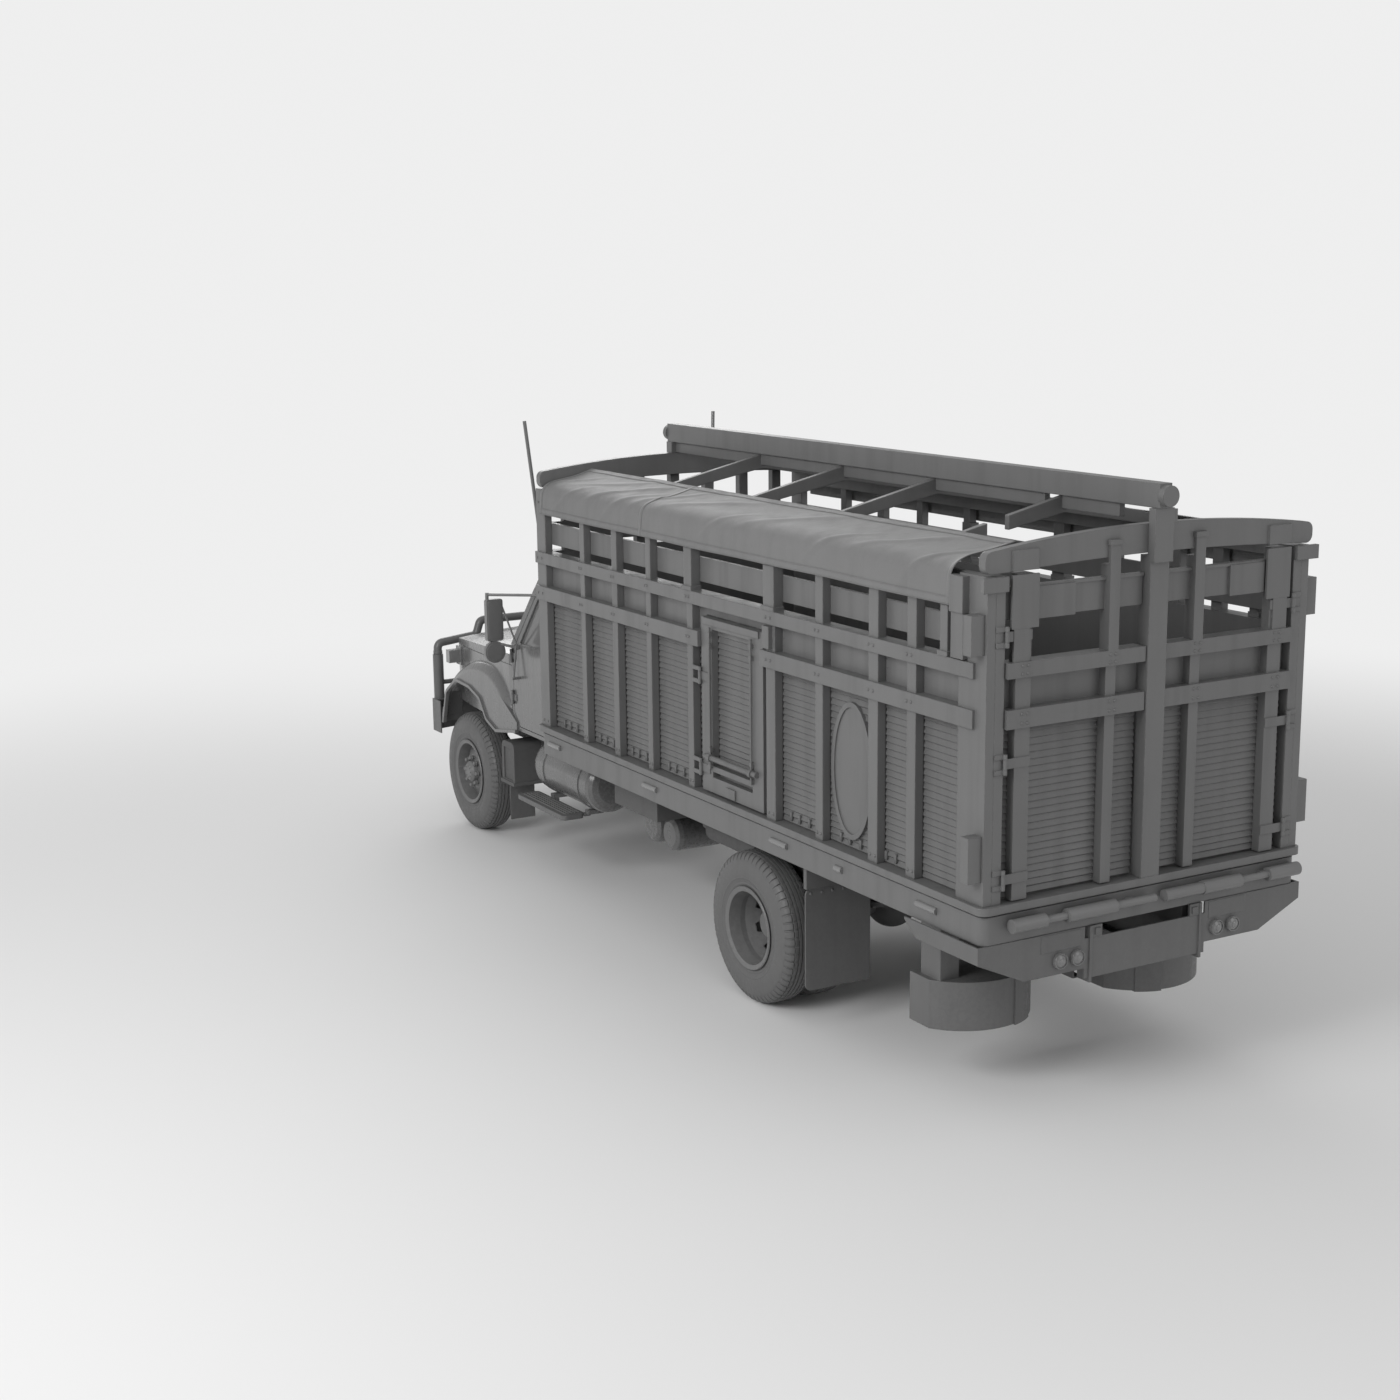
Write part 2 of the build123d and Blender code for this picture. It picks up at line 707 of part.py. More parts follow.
rear_lean = (roof_rear - cab_rear) / (cab_eave - cab_belt)
with BuildPart() as cab_glass:
    front_x = cab_front - cab_wall / 2
    pane = [
        (front_x, cab_belt),
        (front_x + glass_thick, cab_belt),
        (front_x + glass_thick - lean * (cab_eave - cab_belt), cab_eave),
        (front_x - lean * (cab_eave - cab_belt), cab_eave),
    ]
    side_plate(pane, -900, 900)
    cross_plate(shield, roof_front - cab_wall - 60, cab_front + 1, Mode.INTERSECT)
    rear_x = cab_rear + cab_wall / 2
    rear_pane = [
        (rear_x, cab_belt),
        (rear_x + glass_thick, cab_belt),
        (rear_x + glass_thick + rear_lean * (cab_eave - cab_belt), cab_eave),
        (rear_x + rear_lean * (cab_eave - cab_belt), cab_eave),
    ]
with BuildPart() as rear_glass:
    side_plate(rear_pane, -900, 900)
    cross_plate(rear_light, cab_rear - 1, roof_rear + cab_wall + 60, Mode.INTERSECT)
with BuildPart() as cab_panes:
    add(cab_glass.part)
    add(rear_glass.part)
save(cab_panes.part, "cab_glass")

# Roof skin with the two whip aerials at its front corners
with BuildPart() as cab_roof:
    with BuildSketch(Plane.XY.offset(cab_eave)):
        with Locations(((roof_rear + roof_front) / 2, 0)):
            RectangleRounded(roof_front - roof_rear + 30, 2 * roof_half + 30, 60)
    extrude(amount=cab_top - cab_eave, taper=25)
    for side in (1, -1):
        foot = (roof_front - 80, side * (roof_half - 75), cab_top - 25)
        rod(foot, (roof_front + 40, side * (roof_half + 30), 3745), 15)
save(cab_roof.part, "cab_roof")

# Hood outline, shared by the cowl behind it
nose_half = 790
cowl_half = 960
nose_crown = cab_belt - 170
cowl_crown = cab_belt - 2
hood_skin = 14


def hood_row(t):
    """Place, half width, seam and crown of a hood section; t runs from the nose to the cowl."""
    return (
        nose_x + (hood_rear - nose_x) * t,
        nose_half + (cowl_half - nose_half) * math.sqrt(t),
        seam_front + (seam_rear - seam_front) * t,
        nose_crown + (cowl_crown - nose_crown) * math.sqrt(t),
    )


hood_sections = [hood_row(t) for t in (0, 0.03, 0.1, 0.3, 0.6, 1)]
hollow_start = hood_skin / (nose_x - hood_rear)


def hood_section(x, half, seam, crown, inset=0):
    """One crowned section of the hood."""
    with BuildSketch(Plane.YZ.offset(x)) as section:
        with BuildLine():
            w = half - inset
            top = crown - inset
            shoulder = seam + (top - seam) * 0.45
            Polyline((-w, shoulder), (-w, seam), (w, seam), (w, shoulder))
            ThreePointArc((w, shoulder), (0, top), (-w, shoulder))
        make_face()
    return section.sketch


hood_hinge = (hood_rear - 4, hood_sections[-1][3] + hinge_r + 1)
hood_hinge_y = (-300, 300 - hinge_long)

# Cab floor with its mounts, the seat's box, the firewall and the cowl
firewall = 25
with BuildPart() as cab_floor:
    floor_x = (cab_rear + cab_wall, cab_front - cab_wall)
    block(floor_x, (cab_wall - cab_half, cab_half - cab_wall), (cab_floor_z, cab_floor_z + 30))
    block((cab_rear + 90, cab_rear + 520), (-690, 690), (cab_floor_z + 30, seat_low))
    for x in (cab_rear + 150, cab_front - 150):
        pair((x - 60, x + 60), (rail_outer - rail_flange, rail_outer), (rail_top, cab_floor_z))
save(cab_floor.part, "cab_floor")

with BuildPart() as cowl:
    wall_half = cowl_half - hood_skin - 2
    block((cab_front, cab_front + firewall), (-wall_half, wall_half), (cab_floor_z, seam_rear))
    extrude(hood_section(cab_front, *hood_sections[-1][1:]), amount=hood_rear - 8 - cab_front, dir=(1, 0, 0))
    for y in hood_hinge_y:
        for base in (y, y + hinge_long - hinge_ear):
            leaf = (hood_hinge[1] - 24, hood_hinge[1] - 2)
            block((hood_hinge[0] - 45, hood_hinge[0]), (base, base + hinge_ear), leaf)
        hinge_fixed((hood_hinge[0], y, hood_hinge[1]), (hood_hinge[0], y + hinge_long, hood_hinge[1]))
save(cowl.part, "cowl")

with BuildPart() as seat:
    profile = [
        (cab_rear + 70, seat_low + seat_gap),
        (cab_rear + 560, seat_low + seat_gap),
        (cab_rear + 560, seat_low + 160),
        (cab_rear + 215, seat_low + 130),
        (cab_rear + 140, seat_low + 640),
        (cab_rear + 70, seat_low + 640),
    ]
    side_plate(profile, -720, 720)
save(seat.part, "seat")

with BuildPart() as dashboard:
    profile = [
        (cab_front - cab_wall, cab_belt - 60),
        (cab_front - cab_wall - 190, cab_belt - 70),
        (cab_front - cab_wall - 240, cab_belt - 130),
        (cab_front - cab_wall - 180, cab_belt - 330),
        (cab_front - cab_wall, cab_belt - 330),
    ]
    side_plate(profile, 105 - cab_half, cab_half - 105)
    hub = (cab_front - 420, 420, cab_belt - 90)
    tip = (cab_front - 180, 420, cab_belt - 200)
    rod(tip, hub, 22)
    ring_plane = Plane(origin=hub, z_dir=Vector(*hub) - Vector(*tip))
    with BuildSketch(ring_plane):
        Circle(215)
        Circle(185, mode=Mode.SUBTRACT)
        with PolarLocations(95, 3):
            Rectangle(200, 30)
        Circle(50)
    extrude(amount=26, both=True)
save(dashboard.part, "dashboard")

# Mirrors on arms, carried by the door frame
mirror_x = cab_front - 110
mirror_y = cab_half + 195
mount_x = mirror_x - 40
top_arm_z = cab_eave - 49
top_arm_y = roof_half + side_lean * (cab_eave - top_arm_z) + 12
strut_r = 8
with BuildPart() as mirror_left:
    with BuildSketch(Plane.YZ.offset(mirror_x - 5)):
        with Locations((mirror_y - 2, cab_belt + 233)):
            RectangleRounded(148, 355, 22)
    extrude(amount=50)
    with BuildSketch(Plane.YZ.offset(mirror_x - 5)):
        with Locations((mirror_y + 2, cab_belt - 38)):
            Circle(92)
    extrude(amount=40)
    rod((mirror_x + 20, mirror_y + 55, cab_belt + 390), (mirror_x + 20, mirror_y + 55, top_arm_z + 16), 15)
    rod((mirror_x + 20, mirror_y + 55, top_arm_z), (mirror_x - 250, top_arm_y, top_arm_z), 12)
    rod((mirror_x + 20, mirror_y - 55, cab_belt + 405), (mount_x, cab_half + 15, cab_belt + 2), strut_r)
    rod((mirror_x + 20, mirror_y + 2, cab_belt + 40), (mount_x, cab_half + 25, cab_belt - 10), 12)
    rod((mount_x, cab_half + seat_gap, cab_belt - 10), (mount_x, cab_half + 35, cab_belt - 10), 20)
    rod((mount_x, cab_half + 25, cab_belt - 10), (mount_x, cab_half + 55, cab_belt - 275), strut_r)
    rod((mount_x, cab_half + 68, cab_belt - 275), (mount_x, cab_half + seat_gap, cab_belt - 275), strut_r + 4)
    rod((mirror_x + 15, mirror_y, cab_belt - 60), (mirror_x + 15, mirror_y, cab_belt + 100), 14)
save(mirror_left.part, "mirror_left")
save(mirrored(mirror_left.part), "mirror_right")

# Hood: a crowned lid lofted from the nose to the cowl
with BuildPart() as hood_hollow:
    rows = [hood_row(hollow_start)] + hood_sections[1:]
    loft([hood_section(*row, hood_skin) for row in rows], ruled=True)
with BuildPart() as hood:
    loft([hood_section(*row) for row in hood_sections], ruled=True)
    add(hood_hollow.part, mode=Mode.SUBTRACT)
    for y in hood_hinge_y:
        strap = (y + hinge_ear + 1, y + hinge_long - hinge_ear - 1)
        block((hood_hinge[0], hood_hinge[0] + 45), strap, (hood_hinge[1] - 24, hood_hinge[1] - 2))
        hinge_moving((hood_hinge[0], y, hood_hinge[1]), (hood_hinge[0], y + hinge_long, hood_hinge[1]))
save(hood.part, "hood")

# Front fenders: the nose's side panel, and the bulge over the wheel with its rolled lip
fender_skin = 14
fender_low = 900
crown_z = 1590
crown_x = front_axle_x - 368
tail_x = front_axle_x - 1103
tip_x = nose_x - 20
arch_line = [
    # along from the front axle, height
    (-688, 1030),
    (-482, 1100),
    (-346, 1262),
    (-132, 1326),
    (156, 1341),
    (375, 1202),
    (472, fender_low + 4),
]
arch_open = [(-1150, 1108)] + arch_line + [(480, fender_low - 50), (-1150, fender_low - 50)]
arch_open = [(front_axle_x + x, z) for x, z in arch_open]
arch_bend = 60
lip_wide = 26
lip_out = fender_half + 18
crown_round = 90
side_plan = [(row[0], row[1]) for row in hood_sections] + [(cab_front, cowl_half)]


def bulge(inset):
    """The bulge over one front wheel, on the left, as a plain solid."""
    with BuildPart() as form:
        with BuildSketch(Plane.XZ.offset(-(fender_half - inset))) as outline:
            with BuildLine():
                top = (crown_x, crown_z - inset)
                front = (front_axle_x + 470 - inset, 1200 - inset)
                rear = (front_axle_x - 974 + inset, 1259 - inset)
                TangentArc(top, front, tangent=(1, 0))
                TangentArc(top, rear, tangent=(-1, 0))
                Polyline(
                    front,
                    (tip_x - inset, 960),
                    (tip_x - inset, fender_low - inset),
                    (tail_x + inset, fender_low - inset),
                    (tail_x + inset, 1190),
                    rear,
                )
            make_face()
        extrude(outline.sketch, amount=fender_half - inset - 600, dir=(0, -1, 0))
        outer = form.edges().filter_by_position(Axis.Y, fender_half - inset - 1, fender_half - inset + 1)
        fillet(outer.filter_by(GeomType.CIRCLE), crown_round - inset)
    return form.part


def arch_face(y, grow):
    """The wheel opening's outline at y, let out by a width."""
    with BuildSketch(Plane.XZ.offset(-y)) as face:
        with BuildLine():
            Polyline(*arch_open, close=True)
        make_face()
        bends = face.vertices().filter_by(lambda v: v.Y > 1060 and v.X > front_axle_x - 500)
        fillet(bends, arch_bend)
        if grow:
            offset(amount=grow)
    return face.sketch


with BuildPart() as fender_left:
    add(bulge(0))
    add(bulge(fender_skin), mode=Mode.SUBTRACT)
    extrude(arch_face(lip_out, lip_wide), amount=lip_out - fender_half + 8, dir=(0, -1, 0))
    extrude(arch_face(lip_out + 1, 0), amount=500, dir=(0, -1, 0), mode=Mode.SUBTRACT)
    block((tail_x - 200, nose_x), (fender_half - 60, lip_out + 1), (fender_low - 200, fender_low), Mode.SUBTRACT)
    block((tail_x - 200, tail_x), (fender_half - 60, lip_out + 1), (fender_low - 200, cab_belt), Mode.SUBTRACT)
    inner_plan = [(x, y - fender_skin) for x, y in side_plan]
    inside = [(nose_x, 0)] + inner_plan + [(tail_x, cowl_half), (tail_x, 0)]
    plan_plate(inside, 800, cab_belt, Mode.SUBTRACT)
    plan_plate(side_plan + inner_plan[::-1], 1110, cab_belt)
    above = [(nose_x + 1, seam_front - 4), (hood_rear, seam_rear - 4), (tail_x, seam_rear - 4)]
    above += [(tail_x, cab_belt + 10), (nose_x + 1, cab_belt + 10)]
    side_plate(above, 600, fender_half + 20, Mode.SUBTRACT)
    block((tail_x - 100, cab_front + 1), (0, cab_half + seat_gap), (800, cab_belt), Mode.SUBTRACT)
    block((tip_x, nose_x + 20), (0, fender_half + 20), (800, cab_belt), Mode.SUBTRACT)
with BuildPart() as front_fenders:
    add(fender_left.part)
    mirror(about=Plane.XZ)
save(front_fenders.part, "front_fenders")

# Grille panel with its bars and round lamp openings
grille_low = 1110
grille_half = 560
lamp_y = 685
lamp_z = 1370
lamp_r = 85
with BuildPart() as grille:
    block((nose_x - 20, nose_x + 10), (-nose_half, nose_half), (grille_low, seam_front - 6))
    mouth = (-grille_half, grille_half)
    block((nose_x - 21, nose_x + 11), mouth, (grille_low + 60, seam_front - 60), Mode.SUBTRACT)
    for i in range(9):
        z = grille_low + 100 + i * 38
        block((nose_x - 16, nose_x + 6), mouth, (z - 7, z + 7))
    pair((nose_x - 16, nose_x + 6), (190, 210), (grille_low + 60, seam_front - 60))
    for side in (1, -1):
        rod((nose_x - 40, side * lamp_y, lamp_z), (nose_x + 40, side * lamp_y, lamp_z), lamp_r, Mode.SUBTRACT)
save(grille.part, "grille")

# Headlamps, the turn lamps on the nose's sides, the tail lamps and the sill's marker lamps
turn_x = nose_x - 120
turn_z = seam_front - 100
turn_seat = nose_half + (cowl_half - nose_half) * math.sqrt((nose_x - turn_x - 55) / (nose_x - hood_rear))
marker_seat = sill_bands[0][2]
marker_z = sill_top - 135
markers = [
    # centre from the rear plane, length
    (box_length - 240, 200),
    (3960, 200),
    (2180, 200),
    (1470, 80),
    (530, 200),
]
with BuildPart() as lamps:
    block((turn_x - 52, turn_x + 52), (turn_seat - 5, turn_seat + 34), (turn_z - 85, turn_z + 85))
    block((turn_x - 38, turn_x + 38), (turn_seat + 33, turn_seat + 140), (turn_z - 58, turn_z + 58))
    clear = [(x, y + seat_gap) for x, y in side_plan]
    plan_plate([(nose_x, 0)] + clear + [(cab_front, 0)], turn_z - 90, turn_z + 90, Mode.SUBTRACT)
    mirror(about=Plane.XZ)
    for side in (1, -1):
        rod((nose_x - 19.7, side * lamp_y, lamp_z), (nose_x + 14, side * lamp_y, lamp_z), lamp_r - 0.3)
        for centre, length in markers:
            x = box_rear + centre
            rod((x - length / 2, side * marker_seat, marker_z), (x + length / 2, side * marker_seat, marker_z), 22)
            ys = sorted((side * (marker_seat - 40), side * (marker_seat + seat_gap)))
            block((x - length / 2 - 1, x + length / 2 + 1), ys, (marker_z - 40, marker_z + 40), Mode.SUBTRACT)
    for y in (661, 533, -562, -694):
        rod((box_rear - 24, y, 973), (box_rear - 10, y, 973), 50)
save(lamps.part, "lamps")

# Engine, gearbox and the radiator behind the grille
with BuildPart() as engine_block:
    block((cab_front + 200, nose_x - 300), (-300, 300), (rail_top - 240, 1500))
    block((gearbox_rear, cab_front + 200), (-200, 200), (640, 1040))
    block((nose_x - 130, nose_x - 50), (30 - rail_outer, rail_outer - 30), (rail_top, 1540))
save(engine_block.part, "engine_block")

# Front bumper with its swept ends, and the tube guard welded to it
with BuildPart() as front_bumper:
    bumper_half = 1000
    outline = [
        (bumper_front, 0),
        (bumper_front, 700),
        (bumper_front - 70, bumper_half),
        (bumper_front - 70 - bumper_deep, bumper_half),
        (bumper_front - 70 - bumper_deep, bumper_half - 10),
        (bumper_front - 80, bumper_half - 10),
        (bumper_front - 10, 697),
        (bumper_front - 10, 0),
    ]
    plan_plate(outline, bumper_low, bumper_high)
    mirror(about=Plane.XZ)
    pair((rail_front, bumper_front - 9), (rail_outer - rail_flange, rail_outer), (bumper_low + 20, rail_top - 10))

guard_corner = seam_front - 27
sleeve_top = 1490
with BuildPart() as guard:
    with BuildLine():
        path = [(bar_y, bumper_high), (bar_y, guard_corner), (545, seam_front + 15), (500, seam_front + 150)]
        route = [(bar_x, y, z) for y, z in path] + [(bar_x, -y, z) for y, z in reversed(path)]
        FilletPolyline(*route, radius=55)
    with BuildSketch(Plane(origin=(bar_x, bar_y, bumper_high), z_dir=(0, 0, 1))):
        Circle(bar_r)
    sweep()
    rod((bar_x, bar_y, 1225), (bar_x, -bar_y, 1225), 22)
    for side in (1, -1):
        rod((bar_x, side * 420, bumper_high), (bar_x, side * 420, seam_front + 150), 22)
        rod((bar_x, side * bar_y, bumper_high), (bar_x, side * bar_y, sleeve_top), sleeve_r)
        rod((bar_x, side * bar_y, sleeve_top + 8), (bar_x, side * bar_y, sleeve_top + 34), bar_r + 4)
    block((bar_x - 60, bumper_front - 75), (-985, 985), (bumper_high - 12, bumper_high))
    add(front_bumper.part)
    for side in (1, -1):
        ys = sorted((side * (tow_y - tow_thick / 2), side * (tow_y + tow_thick / 2)))
        block((tow_x - 45, tow_x + 45), ys, (tow_z - 45, bumper_low + 21))
        rod((tow_x, ys[0] - 1, tow_z), (tow_x, ys[1] + 1, tow_z), tow_r, Mode.SUBTRACT)
save(guard.part, "front_bumper")

# Fuel tanks with domed ends and straps, one each side, clear of the cab floor
tank_y = 765
tank_z = 875
tank_r = 225
tank_rear = cab_rear - 460
tank_front = cab_rear + 600
tank_straps = (tank_rear + 200, tank_front - 220)
strap_wide = 60
tank_profile = [
    # along from the rear end, share of the radius
    (0, 0),
    (0, 0.62),
    (14, 0.84),
    (40, 0.96),
    (75, 1),
]
with BuildPart() as fuel_tanks:
    for side in (1, -1):
        middle = (0, side * tank_y, tank_z)
        with BuildSketch(Plane(origin=middle, x_dir=(1, 0, 0), z_dir=(0, -1, 0))) as section:
            with BuildLine():
                rear = [(tank_rear + x, tank_r * share) for x, share in tank_profile]
                front = [(tank_front - x, tank_r * share) for x, share in reversed(tank_profile)]
                Polyline(*rear, *front, close=True)
            make_face()
        revolve(section.sketch, axis=Axis(middle, (1, 0, 0)))
        for x in tank_straps:
            with BuildSketch(Plane.YZ.offset(x)) as strap:
                with Locations((side * tank_y, tank_z)):
                    Circle(tank_r + 8)
                    Circle(tank_r - 2, mode=Mode.SUBTRACT)
            extrude(strap.sketch, amount=strap_wide, dir=(1, 0, 0))
            ys = sorted((side * rail_outer, side * (tank_y - tank_r - 5)))
            block((x, x + strap_wide), ys, (tank_z - 60, tank_z + 60))
            block((x, x + strap_wide), sorted((side * 760, side * 899)), (tank_z - tank_r - 35, tank_z - tank_r))
        rod((tank_front - 330, side * (tank_y + 90), tank_z), (tank_front - 330, side * (tank_y + 175), tank_z + 195), 45)
save(fuel_tanks.part, "fuel_tanks")

step_z = 600
step_rear = cab_rear - 200
step_front = cab_rear + 690
step_in = 900
step_out = 1100
with BuildPart() as side_steps:
    for side in (1, -1):
        with BuildSketch(Plane.XY.offset(step_z - 22)) as plate:
            with Locations(((step_rear + step_front) / 2, side * (step_in + step_out) / 2)):
                RectangleRounded(step_front - step_rear, step_out - step_in, 45)
        extrude(plate.sketch, amount=40, dir=(0, 0, 1))
        for y in range(920, 1070, 30):
            ys = sorted((side * y, side * (y + 14)))
            block((step_rear + 50, step_front - 50), ys, (step_z + 18, step_z + 24))
        for x in (tank_rear + 260, tank_front - 220):
            block((x, x + 40), sorted((side * 850, side * 905)), (step_z - 10, tank_z - tank_r - 35))
save(side_steps.part, "side_steps")

# Step boxes behind the front wheels, with an outer recess, and the tool boxes under the deck
with BuildPart() as step_boxes:
    for side in (1, -1):
        ys = sorted((side * 740, side * 1000))
        block((cab_front - 20, cab_front + 230), ys, (610, 985))
    fillet(step_boxes.edges().filter_by(Axis.Y).filter_by(lambda e: e.center().Z > 800), 60)
    for side in (1, -1):
        ys = sorted((side * 988, side * 1001))
        block((cab_front + 10, cab_front + 190), ys, (650, 930), Mode.SUBTRACT)
        ys = sorted((side * 740, side * 1012))
        block((cab_front - 26, cab_front + 236), ys, (610, 640))
        ys = sorted((side * rail_outer, side * 740))
        block((cab_front + 70, cab_front + 140), ys, (830, 900))
        ys = sorted((side * 520, side * 1000))
        block((box_front - 1510, box_front - 820), ys, (880, bearer_bottom))
save(step_boxes.part, "side_boxes")

air_tank_r = 140
with BuildPart() as air_tanks:
    for x in (box_front - 970, box_front - 670):
        ends = [(130, 0), (130, 0.7), (150, 0.92), (185, 1), (545, 1), (580, 0.92), (600, 0.7), (600, 0)]
        turned(x, 600, [(y, air_tank_r * share) for y, share in ends])
        block((x - 30, x + 30), (rail_outer - rail_flange, rail_outer), (730, rail_low))
save(air_tanks.part, "air_tanks")

# Silencer with its pipes, under the left rail
pipe_y = 560
pipe_z = 800
with BuildPart() as exhaust:
    rod((box_front - 2340, pipe_y, pipe_z), (box_front - 1640, pipe_y, pipe_z), 95)
    rod((box_front - 2440, pipe_y, pipe_z), (box_front - 1490, pipe_y, pipe_z), 35)
    block((box_front - 2010, box_front - 1960), (rail_outer, 480), (780, 820))
save(exhaust.part, "exhaust")

# Mud flaps behind each axle, their lower corners rounded
flaps = [
    # x, inner y, outer y, low, high, thickness
    (rear_axle_x - 741, 690, box_half - 20, 300, 1000, 12),
    (cab_front + 120, 750, 980, 285, 610, 10),
]
with BuildPart() as mud_flaps:
    for x, inner, outer, low, high, thick in flaps:
        for side in (1, -1):
            with BuildSketch(Plane.YZ.offset(x)) as sheet:
                with Locations((side * (inner + outer) / 2, (low + high) / 2)):
                    Rectangle(outer - inner, high - low)
                fillet(sheet.vertices().sort_by(Axis.Z)[:2], 45)
            extrude(sheet.sketch, amount=thick, dir=(1, 0, 0))
    x, inner, outer, low, high, thick = flaps[0]
    pair((x - 10, x + thick + 13), (inner, outer), (high, sill_top - sill_drop))
save(mud_flaps.part, "mud_flaps")

# Rear bumper: swept wings either side of a drop plate
wing = 12
wing_half = box_half + 38
wing_bend = box_half - 300
wing_in_y = 470
wing_top = sill_top - sill_drop - 1
plate_y = 420
with BuildPart() as rear_bumper:
    wing_out = [(wing_in_y, 890), (wing_bend, 890), (wing_half, 1044), (wing_half, wing_top), (wing_in_y, wing_top)]
    wing_hollow = [
        (wing_in_y - 1, 890 + wing),
        (wing_bend - 4, 890 + wing),
        (wing_half - wing, 1044 + wing * 0.7),
        (wing_half - wing, wing_top + 11),
        (wing_in_y - 1, wing_top + 11),
    ]
    for side in (1, -1):
        cross_plate([(side * y, z) for y, z in wing_out], box_rear - 10, box_rear + 715)
        inner = [(side * y, z) for y, z in wing_hollow]
        cross_plate(inner, box_rear + 2, box_rear + 716, Mode.SUBTRACT)
    side_cut = [(box_rear + 150, 860), (box_rear + 510, 985), (box_rear + 716, 1135), (box_rear + 716, 860)]
    side_plate(side_cut, -wing_half - 40, wing_half + 40, Mode.SUBTRACT)
    block((box_rear - 10, box_rear + 2), (-wing_in_y - 2, wing_in_y + 2), (825, 1075))
    pair((box_rear - 20, box_rear + 90), (plate_y, plate_y + 20), (800, wing_top))
    pair((box_rear - 16, box_rear + 2), (plate_y - 76, plate_y + 1), (1074, wing_top))
    pair((box_rear - 24, box_rear - 15), (plate_y - 60, plate_y - 20), (1090, wing_top - 18))
    pair((box_rear - 13, box_rear - 9), (500, 800), (1035, wing_top - 8))
    pair((box_rear + 2, rail_rear), (rail_outer - rail_flange, rail_outer), (rail_low + 70, rail_top))
save(rear_bumper.part, "rear_bumper")

# Lock bars along the rear sill, each a run of thick and thin lengths
lock_x = box_rear - 60
lock_z = 1262
lock_lengths = [
    # from y, to y, radius
    (box_half - 162, 816, 42),
    (818, 653, 22),
    (655, 292, 42),
    (294, -19, 24),
    (-89, -392, 36),
    (-390, -696, 42),
    (-694, -930, 22),
    (-928, 37 - box_half, 42),
]
with BuildPart() as lock_bars:
    for start, end, r in lock_lengths:
        rod((lock_x, start, lock_z), (lock_x, end, lock_z), r)
    for side in (1, -1):
        for y in (150, 930):
            ys = (side * y - 30, side * y + 30)
            block((lock_x - 2, box_rear + box_half - sill_bands[0][2]), ys, (lock_z - 14, lock_z + 14))
save(lock_bars.part, "lock_bars")

# Two rounded bins slung under the tail, each with a band round its middle
bin_low = 410
bin_high = 720
bin_mid = 690
bin_half = 390
with BuildPart() as rear_bins:
    for side in (1, -1):
        for grow, start, end, low, high in (
            (0, bin_mid - bin_half, bin_mid + bin_half, bin_low, bin_high),
            (9, 430, 590, bin_low - 6, bin_high),
        ):
            with BuildSketch(Plane.XY.offset(low)) as plan:
                with BuildLine():
                    rear_left = (box_rear + 700 - grow, side * (bin_mid + bin_half))
                    rear_right = (box_rear + 700 - grow, side * (bin_mid - bin_half))
                    ThreePointArc(rear_left, (box_rear + 475 - grow, side * bin_mid), rear_right)
                    Polyline(
                        rear_right,
                        (box_rear + 900, rear_right[1]),
                        (box_rear + 900, rear_left[1]),
                        rear_left,
                    )
                make_face()
                with Locations((box_rear + 650, side * (start + end) / 2)):
                    Rectangle(600, end - start, mode=Mode.INTERSECT)
            extrude(plan.sketch, amount=high - low, dir=(0, 0, 1))
        block((box_rear + 560, box_rear + 620), sorted((side * 430, side * 590)), (bin_high, bearer_bottom))
        block((box_rear + 640, box_rear + 840), sorted((side * 900, side * 1040)), (bin_high, bearer_bottom))
save(rear_bins.part, "rear_bins")

# Front axle: dropped beam with an eye at each end for the kingpin, on leaf springs
eye_r = 45
eye_half = 30
leaf_thick = 14.2


def leaf_pack(x, low, rise, half_length):
    """Stacked leaves, curving up to their hangers under the left rail."""
    for i in range(4):
        reach = half_length * (1 - 0.2 * i)
        climb = rise * (1 - 0.2 * i) ** 2
        base = low + (3 - i) * 14
        with BuildSketch(Plane.XZ.offset(-rail_outer)) as leaf:
            with BuildLine():
                end = base + climb
                ThreePointArc((x - reach, end), (x, base), (x + reach, end))
                Line((x + reach, end), (x + reach, end + leaf_thick))
                ThreePointArc((x + reach, end + leaf_thick), (x, base + leaf_thick), (x - reach, end + leaf_thick))
                Line((x - reach, end + leaf_thick), (x - reach, end))
            make_face()
        extrude(leaf.sketch, amount=rail_flange, dir=(0, -1, 0))
    top = low + 56 + rise
    for way in (-1, 1):
        hanger = x + way * half_length
        ys = (rail_outer - rail_flange, rail_outer)
        block((hanger - 30, hanger + 30), ys, (top - 30, rail_low))


with BuildPart() as front_axle:
    beam = [
        (0, 430),
        (520, 430),
        (kingpin_y - 50, tyre_r - eye_half),
        (kingpin_y, tyre_r - eye_half),
        (kingpin_y, tyre_r + eye_half),
        (kingpin_y - 60, tyre_r + eye_half),
        (500, 505),
        (0, 505),
    ]
    cross_plate(beam, front_axle_x - 38, front_axle_x + 38)
    mirror(about=Plane.XZ)
    for side in (1, -1):
        centre = (front_axle_x, side * kingpin_y)
        with BuildSketch(Plane.XY.offset(tyre_r - eye_half)):
            with Locations(centre):
                Circle(eye_r)
        extrude(amount=2 * eye_half)
    for side in (1, -1):
        hole_low = (front_axle_x, side * kingpin_y, tyre_r - 2 * eye_half)
        hole_high = (front_axle_x, side * kingpin_y, tyre_r + 2 * eye_half)
        rod(hole_low, hole_high, kingpin_r + 0.5, Mode.SUBTRACT)
save(front_axle.part, "front_axle")

with BuildPart() as spring_left:
    leaf_pack(front_axle_x, 505, 150, 560)
    leaf_pack(rear_axle_x, 600, 95, 640)
with BuildPart() as leaf_springs:
    add(spring_left.part)
    mirror(about=Plane.XZ)
save(leaf_springs.part, "leaf_springs")

